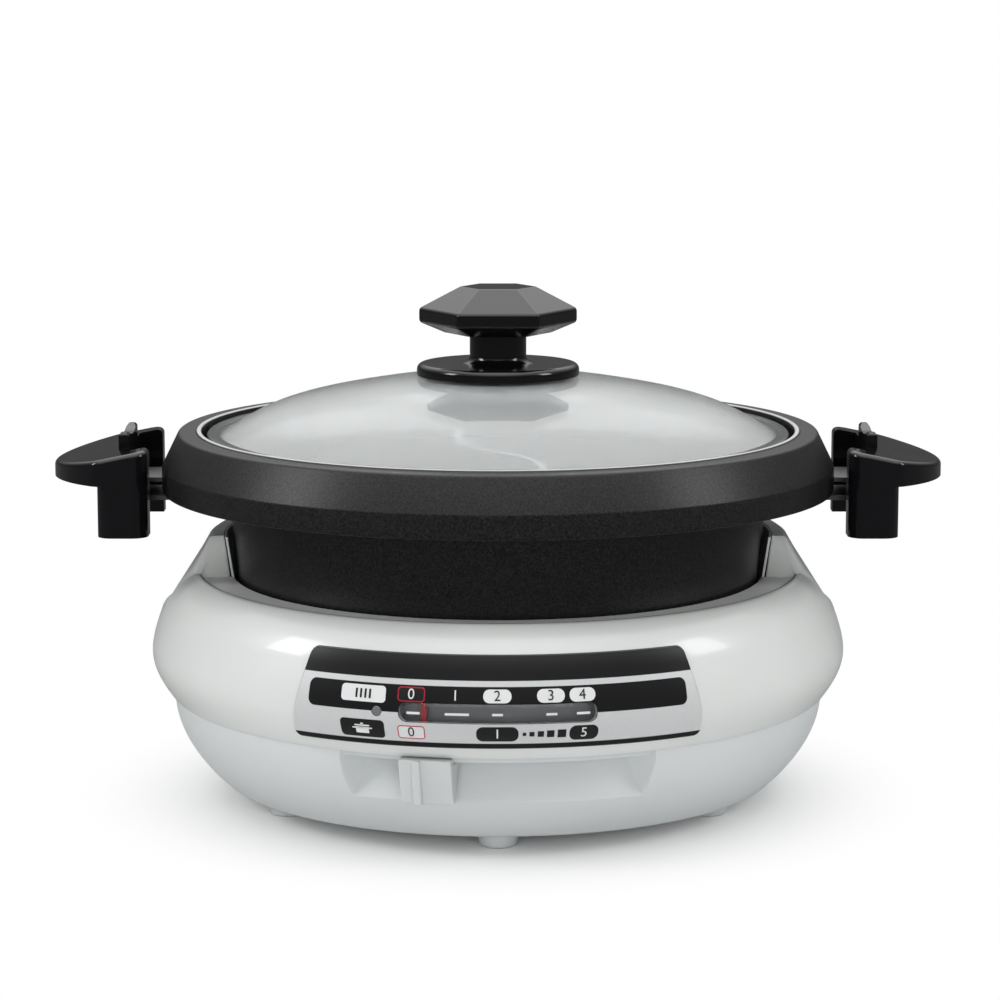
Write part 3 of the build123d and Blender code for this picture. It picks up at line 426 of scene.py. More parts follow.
# Profile of (radius, height) turned about the upright axis
def turnedMesh(name, profile, count=192, closed=False):
    rows = [[around(p.x, angle, p.y) for p in profile] for angle in turns(count)]
    return netMesh(name, rows, loopColumns=closed)


# Merged copy of a CAD node's mesh; edges sharper than hard degrees are softened
def nodeMesh(node, soften, segments, hard=32.0, flat=0.6):
    bm = bmesh.new()
    bm.from_mesh(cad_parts[node].data)
    bmesh.ops.remove_doubles(bm, verts=bm.verts, dist=2e-6)
    bmesh.ops.dissolve_limit(bm, angle_limit=math.radians(flat), verts=bm.verts, edges=bm.edges)
    if soften:
        edges = [e for e in bm.edges if e.is_manifold and e.calc_face_angle() > math.radians(hard)]
        bmesh.ops.bevel(bm, geom=edges, offset=soften, segments=segments, profile=0.5, affect="EDGES",
                        clamp_overlap=True)
    mesh = bpy.data.meshes.new(node + "Soft")
    bm.to_mesh(mesh)
    bm.free()
    return mesh


# Plain mesh of an object with its modifiers applied; the object and its helpers go
def bakedMesh(obj, *helpers):
    bpy.context.view_layer.update()
    evaluated = obj.evaluated_get(bpy.context.evaluated_depsgraph_get())
    mesh = bpy.data.meshes.new_from_object(evaluated)
    for used in (obj, *helpers):
        bpy.data.objects.remove(used)
    return mesh


# Mesh with other closed meshes cut out of it
def cutMesh(mesh, *cutters):
    body = newObject("cutBody", mesh)
    tools = [newObject("cutTool", cutter) for cutter in cutters]
    for tool in tools:
        tool.hide_render = True
        cut = body.modifiers.new("cut", "BOOLEAN")
        cut.object = tool
        cut.solver = "EXACT"
    return bakedMesh(body, *tools)


smoothUpTo = math.radians(35.0)  # sharper edges stay crisp


def shadeSmooth(mesh):
    mesh.shade_smooth()
    mesh.set_sharp_from_angle(angle=smoothUpTo)


# Finished piece: linked, smooth-shaded, riding on its body
def addPiece(name, mesh, finish, body, nodes=(), shaded=False):
    mesh.materials.clear()
    mesh.materials.append(finish)
    if not shaded:
        shadeSmooth(mesh)
    piece = newObject(name, mesh)
    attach(piece, body)
    if nodes:
        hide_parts(*nodes)


# Same mesh with normals that follow its larger faces, so that flats look flat beside rounded edges
def evenShading(mesh):
    shadeSmooth(mesh)
    holder = newObject("shaded", mesh)
    holder.modifiers.new("even", "WEIGHTED_NORMAL").keep_sharp = True
    return bakedMesh(holder)


# Softened copies that stand for CAD nodes: piece, node, edge rounding in mm, finish, slot, bevel steps
def addSofts(body, rows):
    for name, node, soften, finish, slotName, segments in rows:
        mesh = evenShading(nodeMesh(node, soften * mm, segments))
        addPiece(name, mesh, finish, body, [node], shaded=True)


# CAD nodes that stay as they are, with a better finish
def dressNodes(finish, *nodes):
    for node in nodes:
        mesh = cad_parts[node].data
        mesh.materials.clear()
        mesh.materials.append(finish)


# Heights that several pieces share, in metres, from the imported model
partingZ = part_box("lower_shell")[1].z
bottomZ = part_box("lower_shell")[0].z
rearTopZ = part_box("upper_shell")[1].z
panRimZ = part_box("pan_body")[1].z
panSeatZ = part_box("pan_body")[0].z
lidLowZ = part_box("lid_rim_band")[0].z

# Body of the base: radii, heights above the parting line, rear wall and the wings where it begins
shell = {
    "partingR": 149.0 * mm, "bellyR": 157.4 * mm, "bellyUp": 15.6 * mm, "shoulderR": 153.0 * mm,
    "shoulderUp": 38.0 * mm, "rimR": 138.4 * mm, "rimUp": 54.8 * mm, "wall": 2.6 * mm, "lip": 2.6 * mm,
    "shelfDrop": 2.6 * mm, "shelfIn": 124.8 * mm, "rearTaper": 2.6 * mm, "rearLedge": 1.4 * mm,
    "rearTopR": 131.0 * mm, "kneeOut": 4.0 * mm, "kneeDrop": 7.0 * mm, "wingAngle": 81.0, "wingSweep": 2.6,
    "edgeRound": 1.1 * mm, "topRound": 2.4 * mm, "partingSlope": (0.75, 1.0), "shoulderSlope": (-0.35, 1.0),
    "rimSlope": (-1.0, 0.42), "lineSteps": 14, "crownSteps": 26, "lipSteps": 8, "shelfSteps": 6,
    "wingLead": 0.4, "wingReach": 1.8, "wingSteps": 16, "ledgeRise": 0.3, "ledgeSoft": 0.4,
}


# Outer line of the body from the parting line to the shoulder
def bellyLine(out=0.0):
    s = shell
    points = [(s["partingR"] + out, partingZ), (s["bellyR"] + out, partingZ + s["bellyUp"]),
              (s["shoulderR"] + out, partingZ + s["shoulderUp"])]
    return smoothLine(points, s["partingSlope"], s["shoulderSlope"], s["lineSteps"])


# Outer line of the front from the shoulder to the rim
def shoulderLine():
    s = shell
    points = [(s["shoulderR"], partingZ + s["shoulderUp"]), (s["rimR"], partingZ + s["rimUp"])]
    return smoothLine(points, s["shoulderSlope"], s["rimSlope"], s["lineSteps"])


frontLine = bellyLine() + shoulderLine()[1:]


# Radius of the body's front at a height
def frontRadius(z):
    for a, b in zip(frontLine, frontLine[1:]):
        if a.y <= z <= b.y:
            return a.lerp(b, (z - a.y) / max(b.y - a.y, 1e-9)).x
    return frontLine[0].x if z < frontLine[0].y else frontLine[-1].x


panelR = shell["bellyR"]


# Point on the front: arc is the way along it, out is how far it stands off the shell
def onPanel(arc, z, out=0.0):
    return around(frontRadius(z) + out, arc / panelR, z)


def upperShellMesh():
    s = shell
    w, soft, top = s["wall"], s["edgeRound"], s["topRound"]
    rimZ, shoulderZ = partingZ + s["rimUp"], partingZ + s["shoulderUp"]
    shelfZ, lipIn = rimZ - s["shelfDrop"], s["rimR"] - s["lip"]
    belly = vectors((s["partingR"] - w, partingZ), (s["partingR"] - 0.2 * w, partingZ)) + bellyLine()[1:]
    # low front: crown, lip, shelf
    crown = shoulderLine()
    crown = crown[:-1] + roundedLine([(*crown[-2], 0), (s["rimR"], rimZ, soft), (lipIn, rimZ, 0)])[1:]
    lip = roundedLine([(lipIn + soft, rimZ, 0), (lipIn, rimZ, soft), (lipIn, shelfZ, 0)])[1:]
    shelf = vectors((lipIn, shelfZ), (s["shelfIn"], shelfZ))
    # raised rear: cone over a small ledge and up to the knee, flat top, inner face
    ledge = (s["shoulderR"] - s["rearLedge"], shoulderZ + s["ledgeRise"] * s["rearLedge"],
             s["ledgeSoft"] * soft)
    knee = (s["rearTopR"] + s["kneeOut"], rearTopZ - s["kneeDrop"], top)
    cone = roundedLine([(s["shoulderR"], shoulderZ, 0), ledge, knee, (s["rearTopR"], rearTopZ, top),
                        (s["rearTopR"] - top, rearTopZ, 0)])
    flat = vectors((s["rearTopR"] - top, rearTopZ), (s["shelfIn"], rearTopZ))
    face = vectors((s["shelfIn"], rearTopZ), (s["shelfIn"] - s["rearTaper"], shelfZ))
    front, rear = [], []
    steps = (s["crownSteps"], s["lipSteps"], s["shelfSteps"])
    for low, high, count in zip((crown, lip, shelf), (cone, flat, face), steps):
        front += evenly(low, count)
        rear += evenly(high, count)
    # the hidden inside goes back down to the parting line
    inner = vectors((s["shelfIn"], shelfZ - w), (s["shoulderR"] - 2 * w, shoulderZ - w))
    inner += list(reversed(bellyLine(-w)))[4:-1]
    # the front passes into the rear where the wings end
    wing, sweep = math.radians(s["wingAngle"]), math.radians(s["wingSweep"])
    lead, reach, cuts = s["wingLead"] * sweep, s["wingReach"], s["wingSteps"]
    fine = [wing - lead + sweep * reach * k / cuts for k in range(cuts + 1)]
    rows = []
    for angle in sorted(set(wholeTurn() + fine + [-a for a in fine])):
        t = min(1.0, max(0.0, (abs(angle) - wing) / sweep))
        raised = t * t * (3 - 2 * t)
        upper = [a.lerp(b, raised) for a, b in zip(front, rear)]
        rows.append([around(p.x, angle, p.y) for p in belly + upper + inner])
    return netMesh("upperShell", rows)


# Panel, window and labels on the front, sizes along the arc and up
panel = {"topHalf": 84.3 * mm, "lowHalf": 91.7 * mm, "low": 53.4 * mm, "high": 91.6 * mm, "corner": 2.6 * mm,
         # the last two size the dark plate whose rim shows as a painted shadow line round the panel
         "proud": 0.9 * mm, "back": 0.1 * mm, "shadowLineWide": 0.45 * mm, "shadowLineProud": 0.3 * mm}
window = {"half": 41.5 * mm, "low": 64.4 * mm, "high": 72.7 * mm, "round": 3.6 * mm, "thick": 1.6 * mm,
          "gap": 0.12 * mm, "cutIn": 9.0 * mm, "cutOut": 6.0 * mm}
lamp = {"arc": -50.8 * mm, "z": 68.4 * mm, "hole": 2.25 * mm, "deep": 30.0 * mm}


# Thin plate on the front between two heights, its half width given for each height
def frontPlate(name, centre, heights, halfWidth, back, proud, columns=60):
    rows = []
    for z in heights:
        half = halfWidth(z)
        spread = [centre + half * (2 * k / columns - 1) for k in range(columns + 1)]
        face = [onPanel(arc, z, proud) for arc in spread]
        rows.append(face + [onPanel(arc, z, back) for arc in reversed(spread)])
    return netMesh(name, rows, loopRows=False)


# Heights from low to high, closer together where the corners are round
def cornerHeights(low, high, corner, middle=14, steps=7):
    bend = [corner * (1 - math.cos(math.pi / 2 * k / steps)) for k in range(steps + 1)]
    inside = [low + corner + (high - low - 2 * corner) * k / middle for k in range(1, middle)]
    return [low + b for b in bend] + inside + [high - b for b in reversed(bend)]


# How much a round corner takes off the half width at a height
def cornerLoss(z, low, high, corner):
    near = min(z - low, high - z)
    if near >= corner:
        return 0.0
    return corner - math.sqrt(max(0.0, corner ** 2 - (corner - near) ** 2))


def roundedPlate(name, centre, z, half, halfHigh, corner, back, proud, columns=24):
    low, high = z - halfHigh, z + halfHigh

    def width(at):
        return half - cornerLoss(at, low, high, corner)

    heights = cornerHeights(low, high, corner, middle=4, steps=6)
    return frontPlate(name, centre, heights, width, back, proud, columns)


# Trapezoid plate with the panel's outline, grown all round
def panelMesh(name, grow, proud):
    p = panel
    low, high, corner = p["low"] - grow, p["high"] + grow, p["corner"] + grow

    def half(z):
        share = (z - p["low"]) / (p["high"] - p["low"])
        return p["lowHalf"] + (p["topHalf"] - p["lowHalf"]) * share + grow - cornerLoss(z, low, high, corner)

    heights = cornerHeights(low, high, corner, middle=24)
    return frontPlate(name, 0.0, heights, half, p["back"], proud, columns=120)


def windowPlate(name, gap, back, proud):
    w = window
    middle, halfHigh = (w["low"] + w["high"]) / 2, (w["high"] - w["low"]) / 2 - gap
    half, corner = w["half"] - gap, w["round"] - gap
    return roundedPlate(name, 0.0, middle, half, halfHigh, corner, back, proud, columns=90)


def lampCutter():
    centre = onPanel(lamp["arc"], lamp["z"])
    outward = Vector((centre.x, centre.y, 0)).normalized()
    bm = bmesh.new()
    bmesh.ops.create_cone(bm, cap_ends=True, segments=40, radius1=lamp["hole"], radius2=lamp["hole"],
                          depth=lamp["deep"])
    bm.transform(outward.to_track_quat("Z", "Y").to_matrix().to_4x4())
    bmesh.ops.translate(bm, verts=bm.verts, vec=centre)
    return closedMesh("lampCutter", bm)


lower = {"bottomR": 126.0 * mm, "bulge": 5.5 * mm, "step": 1.2 * mm, "wall": 2.6 * mm,
         "bottomRound": 4.0 * mm, "recessTopR": 134.0 * mm, "recessLowR": 142.6 * mm, "recessDrop": 21.6 * mm,
         "floorAngle": 23.5, "mouthAngle": 27.0, "endFrom": 22, "endTo": 31, "endSteps": 4,
         "slotR": 140.5 * mm, "slotHalf": 2.0 * mm, "slotFrom": -13.5, "slotTo": 15.5, "slotBelow": 5.0 * mm,
         "slotAbove": 1.0 * mm, "inletHalf": 22.3 * mm, "inletLow": 17.3 * mm, "inletHigh": 39.9 * mm,
         "inletIn": 99.7 * mm, "inletOut": 200.0 * mm, "screwR": 130.2 * mm, "screwHole": 3.5 * mm,
         "screwSeat": 25.8 * mm, "screwAngles": (45.0, 135.0, 195.0, 345.0), "roofGap": 0.2 * mm,
         # shares of the bottom's radius, then counts along the lines
         "flatFrom": 0.9, "innerHigh": 0.92, "innerLow": 0.86, "arcFrom": 3, "lineSteps": 56, "slotSteps": 40}


# Outside of the lower shell as a bulged arc from its bottom edge to the parting line
def lowerArc(count=20):
    s = lower
    low, high = Vector((s["bottomR"], bottomZ)), Vector((shell["partingR"] - s["step"], partingZ))
    shares = [k / count for k in range(count + 1)]
    return [low.lerp(high, t) + Vector((s["bulge"] * 4 * t * (1 - t), 0)) for t in shares]


# Radius of the recess's slanted end at a plan angle: 0 between the ends, 1 beyond them
def recessEnd(angle):
    floor, mouth = math.radians(lower["floorAngle"]), math.radians(lower["mouthAngle"])
    if abs(angle) <= floor:
        return 0.0
    a = Vector((lower["recessTopR"] * math.sin(floor), lower["recessTopR"] * math.cos(floor)))
    b = Vector((shell["partingR"] * math.sin(mouth), shell["partingR"] * math.cos(mouth)))
    run, ray = b - a, Vector((math.sin(abs(angle)), math.cos(abs(angle))))
    turn = ray.x * run.y - ray.y * run.x
    reach = (a.x * run.y - a.y * run.x) / turn
    return reach if 0 < reach < 1 else 1.0


# Lower shell with the lever recess: a floor that leans in, slanted ends and a set-back roof
def lowerShellMesh():
    s = lower
    w, arc, start = s["wall"], lowerArc(), s["arcFrom"]
    foot = roundedLine([(s["flatFrom"] * s["bottomR"], bottomZ, 0), (s["bottomR"], bottomZ, s["bottomRound"]),
                        (*arc[start], 0)])
    roofZ, roofR = partingZ - w, shell["partingR"] - s["step"] - w
    below = [p for p in foot[:-1] + arc[start:] if p.y < roofZ - s["roofGap"]]
    outside = evenly(below + [Vector((arc[-2].x, roofZ))], s["lineSteps"])
    lowZ = partingZ - s["recessDrop"]
    inside = vectors((roofR - s["roofGap"], partingZ), (s["recessTopR"] - w, partingZ),
                     (s["recessTopR"] - w, roofZ - 4 * w), (s["innerHigh"] * s["bottomR"], bottomZ + 3 * w),
                     (s["innerLow"] * s["bottomR"], bottomZ + w), (0.0, bottomZ + w))
    span = range(s["endSteps"] * s["endFrom"], s["endSteps"] * s["endTo"])
    ends = [math.radians(k / s["endSteps"]) for k in span]
    rows = []
    for angle in sorted(set(wholeTurn() + ends + [-a for a in ends])):
        end = recessEnd(angle)
        row = []
        for p in outside:
            share = (roofZ - p.y) / (roofZ - lowZ)
            floor = s["recessTopR"] + (s["recessLowR"] - s["recessTopR"]) * share
            row.append(Vector((min(p.x, max(floor, end)) if p.y > lowZ else p.x, p.y)))
        for p, z in ((outside[-1], roofZ), (arc[-1], partingZ)):
            row.append(Vector((min(p.x, max(roofR, end)), z)))
        rows.append([around(0.0, angle, bottomZ)] + [around(p.x, angle, p.y) for p in row + inside])
    return netMesh("lowerShell", rows, loopColumns=False)


# Block between two corners
def blockMesh(name, low, high):
    bm = bmesh.new()
    bmesh.ops.create_cube(bm, size=1.0)
    for vertex in bm.verts:
        vertex.co = [a + (b - a) * (c + 0.5) for a, b, c in zip(low, high, vertex.co)]
    return closedMesh(name, bm)


# Upright rod that cuts a round hole
def rodMesh(name, x, y, radius, low, high):
    bm = bmesh.new()
    bmesh.ops.create_cone(bm, cap_ends=True, segments=32, radius1=radius, radius2=radius, depth=high - low)
    bmesh.ops.translate(bm, verts=bm.verts, vec=(x, y, (low + high) / 2))
    return closedMesh(name, bm)


# Curved slot in the recess roof for the lever's neck
def slotCutter():
    s = lower
    low, high = partingZ - s["slotBelow"], partingZ + s["slotAbove"]
    rows = []
    for k in range(s["slotSteps"] + 1):
        angle = math.radians(s["slotFrom"] + (s["slotTo"] - s["slotFrom"]) * k / s["slotSteps"])
        rows.append([around(s["slotR"] + side * s["slotHalf"], angle, z)
                     for side, z in ((-1, low), (1, low), (1, high), (-1, high))])
    return netMesh("slotCutter", rows, loopRows=False)


def lowerCutters():
    s = lower
    half = s["inletHalf"]
    inlet = blockMesh("inletCut", (-half, s["inletIn"], s["inletLow"]), (half, s["inletOut"], s["inletHigh"]))
    cutters = [slotCutter(), inlet]
    for degrees in s["screwAngles"]:
        angle = math.radians(degrees)
        x, y = s["screwR"] * math.cos(angle), s["screwR"] * math.sin(angle)
        cutters.append(rodMesh("screwCut", x, y, s["screwHole"], 0.0, s["screwSeat"]))
    return cutters


print("helpers ready")

# Base: shells, panel, window
shellWhite = plasticFinish("shellWhite", (0.67, 0.69, 0.675), 0.35)
lowerWhite = plasticFinish("lowerWhite", (0.61, 0.635, 0.64), 0.5, coat=0.0)
leverWhite = plasticFinish("leverWhite", (0.60, 0.62, 0.62), 0.4, coat=0.1)


# Silver film with black bands; heights in metres on the panel
bands = {"topLow": 82.0 * mm, "midLow": 68.4 * mm, "midHigh": 79.7 * mm, "midHalf": 82.4 * mm,
         "midRound": 3.0 * mm, "lineHigh": 55.6 * mm, "soft": 0.12 * mm, "silver": (0.64, 0.65, 0.655),
         "black": (0.010, 0.010, 0.011), "flakeScale": 2600.0, "shine": 0.2, "gloss": 0.42, "darkGloss": 0.1,
         "flakeGloss": 0.05, "silverTone": (0.86, 1.12), "blackTone": (0.8, 1.3), "ior": 1.3}


def panelFinish(spec):
    material, wire, shader = newFinish("panelPrint", {"IOR": spec["ior"]})
    place = objectPlace(wire)
    x, y, z = axes(wire, place)
    arc = wire.maths("ARCTAN2", x, 0 - y) * panelR
    soft = spec["soft"]
    middle = (spec["midLow"] + spec["midHigh"]) / 2
    half = (spec["midHalf"], (spec["midHigh"] - spec["midLow"]) / 2)
    dark = roundedBox(arc, z, (0.0, middle), half, spec["midRound"], soft)
    dark = dark.atLeast(z.step(spec["topLow"] - soft, spec["topLow"] + soft))
    dark = dark.atLeast(1 - z.step(spec["lineHigh"] - soft, spec["lineHigh"] + soft))
    flakes = noise(wire, place, spec["flakeScale"])
    silver = mottled(wire, flakes, spec["silver"], *spec["silverTone"])
    black = mottled(wire, flakes, spec["black"], *spec["blackTone"])
    mixColours(wire, dark, silver, black).into(shader, "Base Color")
    ((1 - dark) * spec["shine"]).into(shader, "Metallic")
    (spec["gloss"] - dark * spec["darkGloss"] + flakes * spec["flakeGloss"]).into(shader, "Roughness")
    return material


# Fresh cutters for the window and the lamp's hole
def panelOpenings():
    return windowPlate("windowCut", 0.0, -window["cutIn"], window["cutOut"]), lampCutter()


shellCut = cutMesh(upperShellMesh(), *panelOpenings())
addPiece("upperShell", shellCut, shellWhite, "base", ["upper_shell"])
lowerCut = cutMesh(lowerShellMesh(), *lowerCutters())
addPiece("lowerShell", lowerCut, lowerWhite, "base", ["lower_shell"])
panelCut = cutMesh(panelMesh("frontPanel", 0.0, panel["proud"]), *panelOpenings())
addPiece("frontPanel", panelCut, panelFinish(bands), "base", ["front_panel"])
# Dark plate a little larger than the panel, showing round the panel's edge as a painted shadow line of the
# gap
shadowLineDark = plasticFinish("shadowLineDark", (0.05, 0.05, 0.05), 0.5, coat=0.0)
shadowLineCut = cutMesh(panelMesh("panelSeat", panel["shadowLineWide"], panel["shadowLineProud"]), *panelOpenings())
addPiece("panelSeat", shadowLineCut, shadowLineDark, "base")
windowSmoke = clearFinish("windowSmoke", (0.80, 0.81, 0.82), gloss=0.05, ior=1.25)
lensMesh = windowPlate("windowLens", window["gap"], panel["proud"] - window["thick"], panel["proud"])
addPiece("windowLens", lensMesh, windowSmoke, "base", ["window_lens"])
print("base shells and panel done")

# Printed marks: plates and digits that lie on the panel
printBlack = plasticFinish("printBlack", (0.012, 0.012, 0.013), 0.3)
printWhite = plasticFinish("printWhite", (0.74, 0.75, 0.75), 0.4)
printRed = plasticFinish("printRed", (0.45, 0.015, 0.03), 0.35)
printSilver = plasticFinish("printSilver", (0.66, 0.67, 0.67), 0.4)
marks = {
    "layer": 0.06 * mm, "sink": 1.4, "digitSize": 6.0 * mm, "topRow": 76.0 * mm, "lowRow": 60.0 * mm,
    "tickZ": 68.5 * mm, "tickHalf": 0.5 * mm, "boxLine": 0.45 * mm, "smallRound": 0.2 * mm,
    "squareRound": 0.15 * mm,
    # plates in mm: across, half width, half height, corner
    "topPills": [(-0.2, 5.85, 2.75, 2.6), (22.0, 5.8, 2.75, 2.6), (35.3, 5.5, 2.75, 2.6)],
    "lowPills": [(-0.2, 8.75, 3.3, 2.8), (35.9, 6.15, 3.3, 2.8)],
    "modePills": [(-57.0, 9.9, 3.4, 1.6), (-57.5, 9.85, 4.0, 1.8)],
    "modeUp": (-0.7, 0.5),
    "offBox": (-36.1, 5.8, 3.0, 1.4),
    # signs on the mode plates in mm, across, up and half sizes: bars of a grid, then a pot from its lid down
    "gridBars": [(across, 0.0, 0.45, 1.9) for across in (-3.0, -1.0, 1.0, 3.0)],
    "potParts": [(0.0, 2.05, 0.6, 0.3), (0.0, 1.25, 3.3, 0.3), (0.0, -0.85, 2.9, 1.4), (0.0, 0.1, 4.4, 0.3)],
    # across and half width in mm, then digits and where they stand
    "ticks": [(-35.0, 2.8), (-16.8, 5.0), (-0.1, 2.2), (22.2, 2.3), (35.4, 2.8)],
    "squares": [(11.0, 0.75), (14.1, 1.05), (17.8, 1.3), (21.9, 1.55), (26.6, 1.8)],
    "topDigits": [("0", -36.1), ("1", -17.6), ("2", -0.2), ("3", 22.0), ("4", 35.3)],
    "lowDigits": [("0", -36.1), ("1", -0.2), ("5", 35.9)],
}


def addMark(name, finish, arc, z, half, halfHigh, corner, layer):
    proud = panel["proud"] + layer * marks["layer"]
    back = proud - marks["sink"] * marks["layer"]
    mesh = roundedPlate(name, arc, z, half, halfHigh, corner, back, proud)
    addPiece(name, mesh, finish, "base")


# Digit bent onto the panel
def addDigit(name, digit, finish, arc, z, layer):
    curve = bpy.data.curves.new(name, "FONT")
    curve.body = digit
    curve.size = marks["digitSize"]
    curve.align_x = "CENTER"
    curve.align_y = "CENTER"
    curve.extrude = 0.5 * marks["layer"]
    mesh = bakedMesh(newObject(name + "Flat", curve))
    proud = panel["proud"] + layer * marks["layer"]
    for vertex in mesh.vertices:
        vertex.co = onPanel(arc + vertex.co.x, z + vertex.co.y, proud + vertex.co.z)
    addPiece(name, mesh, finish, "base")


def addPrint():
    m = marks
    small, line = m["smallRound"], m["boxLine"]
    rows = [("top", m["topRow"], m["topPills"], printWhite), ("low", m["lowRow"], m["lowPills"], printBlack)]
    for row, z, pills, finish in rows:
        for i, (arc, half, halfHigh, corner) in enumerate(pills):
            addMark(f"{row}Pill{i}", finish, arc * mm, z, half * mm, halfHigh * mm, corner * mm, 1)
    signs = [(m["gridBars"], printBlack), (m["potParts"], printWhite)]
    for (row, z, _, finish), pill, up, (parts, ink) in zip(rows, m["modePills"], m["modeUp"], signs):
        arc, half, halfHigh, corner = pill
        z += up * mm
        addMark(f"{row}ModePill", finish, arc * mm, z, half * mm, halfHigh * mm, corner * mm, 1)
        for i, (aside, rise, wide, high) in enumerate(parts):
            at = (arc + aside) * mm
            addMark(f"{row}ModeSign{i}", ink, at, z + rise * mm, wide * mm, high * mm, small, 2)
    arc, half, halfHigh, corner = (v * mm for v in m["offBox"])
    for row, z, inner in (("top", m["topRow"], printBlack), ("low", m["lowRow"], printSilver)):
        addMark(f"{row}OffFrame", printRed, arc, z, half, halfHigh, corner, 1)
        addMark(f"{row}OffField", inner, arc, z, half - line, halfHigh - line, corner - line, 2)
    for i, (at, half) in enumerate(m["squares"]):
        addMark(f"heatSquare{i}", printBlack, at * mm, m["lowRow"], half * mm, half * mm, m["squareRound"], 1)
    for i, (at, half) in enumerate(m["ticks"]):
        addMark(f"windowTick{i}", printWhite, at * mm, m["tickZ"], half * mm, m["tickHalf"], small, 1)
    # digits without a plate under them take the other ink
    digitRows = [("top", m["topRow"], m["topDigits"], "01", printWhite, printBlack),
                 ("low", m["lowRow"], m["lowDigits"], "0", printBlack, printWhite)]
    for row, z, digits, plateless, bareInk, plateInk in digitRows:
        for digit, at in digits:
            ink = bareInk if digit in plateless else plateInk
            addDigit(f"{row}Digit{digit}", digit, ink, at * mm, z, 3)


addPrint()

# Inside of the window, lamp and lever
dressNodes(plasticFinish("scaleDark", (0.18, 0.18, 0.185), 0.4), "scale_strip")
dressNodes(plasticFinish("lampHolder", (0.6, 0.58, 0.54), 0.4), "pilot_lamp")
lampGrey = plasticFinish("lampGrey", (0.16, 0.16, 0.16), 0.18, coat=0.6)
addSofts("base", [("lampLens", "lamp_lens", 0.5, lampGrey, "lamp_amber", 3)])
addSofts("lever", [("redPointer", "pointer", 0.2, printRed, "pointer_red", 3),
                   ("leverKnob", "lever_knob", 0.7, leverWhite, "lever_plastic", 3)])
print("panel print, window and lever done")

# Heat liner, dish, heater and sensor
linerGrey = metalFinish("linerGrey", (0.86, 0.88, 0.86), 0.46, "up", 0.16, metal=0.25)
dishBright = metalFinish("dishBright", (0.94, 0.94, 0.93), 0.4, "round", 0.14, metal=0.3)
heaterGrey = metalFinish("heaterGrey", (0.60, 0.59, 0.57), 0.45, "round", 0.12, stain=0.2, metal=0.4)
sensorCap = metalFinish("sensorCap", (0.62, 0.62, 0.62), 0.36)
addSofts("base", [("heatLiner", "heat_liner", 0.25, linerGrey, "liner_steel", 2),
                  ("reflectorDish", "reflector_dish", 0.2, dishBright, "dish_mirror", 2),
                  ("heaterElement", "heater_element", 0.0, heaterGrey, "heater_sheath", 3),
                  ("heaterClips", "heater_clips", 0.3, dishBright, "dish_mirror", 2),
                  ("panRests", "pan_rests", 0.2, dishBright, "dish_mirror", 2)])
addSofts("sensor", [("sensorButton", "sensor_plunger", 0.3, sensorCap, "sensor_cap", 3)])

# Electrics that stay hidden in the base
phenolicBrown = plasticFinish("phenolicBrown", (0.10, 0.09, 0.08), 0.45, coat=0.0)
contactBrass = metalFinish("contactBrass", (0.70, 0.55, 0.28), 0.3, "across")
plainSteel = metalFinish("plainSteel", (0.42, 0.42, 0.43), 0.34, "across")
wireSleeve = rubberFinish("wireSleeve", (0.30, 0.05, 0.04))
dressNodes(phenolicBrown, "thermostat_body", "terminal_block")
dressNodes(plainSteel, "lever_arm", "thermostat_shaft", "thermal_fuse", "case_screws")
dressNodes(wireSleeve, "wiring")
addSofts("base", [("inletHousing", "inlet_housing", 0.5, phenolicBrown, "electrics", 3),
                  ("inletPins", "inlet_pins", 0.6, contactBrass, "contact_brass", 3)])
print("liner, dish, heater and electrics done")


# Geometry Nodes tree that sets copies of one small part round the upright axis
def makeRingTree():
    tree = bpy.data.node_groups.new("ringOfParts", "GeometryNodeTree")
    tree.interface.new_socket("Geometry", in_out="OUTPUT", socket_type="NodeSocketGeometry")
    sockets = {"Part": "Object", "Count": "Int", "Radius": "Float", "First Angle": "Float",
               "Finish": "Material"}
    for name, kind in sockets.items():
        tree.interface.new_socket(name, in_out="INPUT", socket_type="NodeSocket" + kind)

    def feed(target, value):
        if isinstance(value, bpy.types.NodeSocket):
            tree.links.new(value, target)
        else:
            target.default_value = value

    def add(kind, out=0, **inputs):
        made = tree.nodes.new(kind)
        for key, value in inputs.items():
            feed(made.inputs[key], value)
        return made.outputs[out]

    def maths(operation, *values):
        made = tree.nodes.new("ShaderNodeMath")
        made.operation = operation
        for target, value in zip(made.inputs, values):
            feed(target, value)
        return made.outputs[0]

    given = tree.nodes.new("NodeGroupInput").outputs
    turn = maths("MULTIPLY", add("GeometryNodeInputIndex"), maths("DIVIDE", 2 * math.pi, given["Count"]))
    spot = add("ShaderNodeCombineXYZ", X=maths("MULTIPLY", given["Radius"], maths("COSINE", turn)),
               Y=maths("MULTIPLY", given["Radius"], maths("SINE", turn)))
    spots = add("GeometryNodePoints", Count=given["Count"], Position=spot)
    part = add("GeometryNodeObjectInfo", "Geometry", Object=given["Part"])
    facing = add("FunctionNodeEulerToRotation", Euler=add("ShaderNodeCombineXYZ", Z=turn))
    copies = add("GeometryNodeInstanceOnPoints", Points=spots, Instance=part, Rotation=facing)
    first = add("ShaderNodeCombineXYZ", Z=given["First Angle"])
    placed = add("GeometryNodeTransform", Geometry=copies, Rotation=first)
    real = add("GeometryNodeRealizeInstances", Geometry=placed)
    painted = add("GeometryNodeSetMaterial", Geometry=real, Material=given["Finish"])
    tree.links.new(painted, tree.nodes.new("NodeGroupOutput").inputs[0])
    return tree


ringTree = makeRingTree()


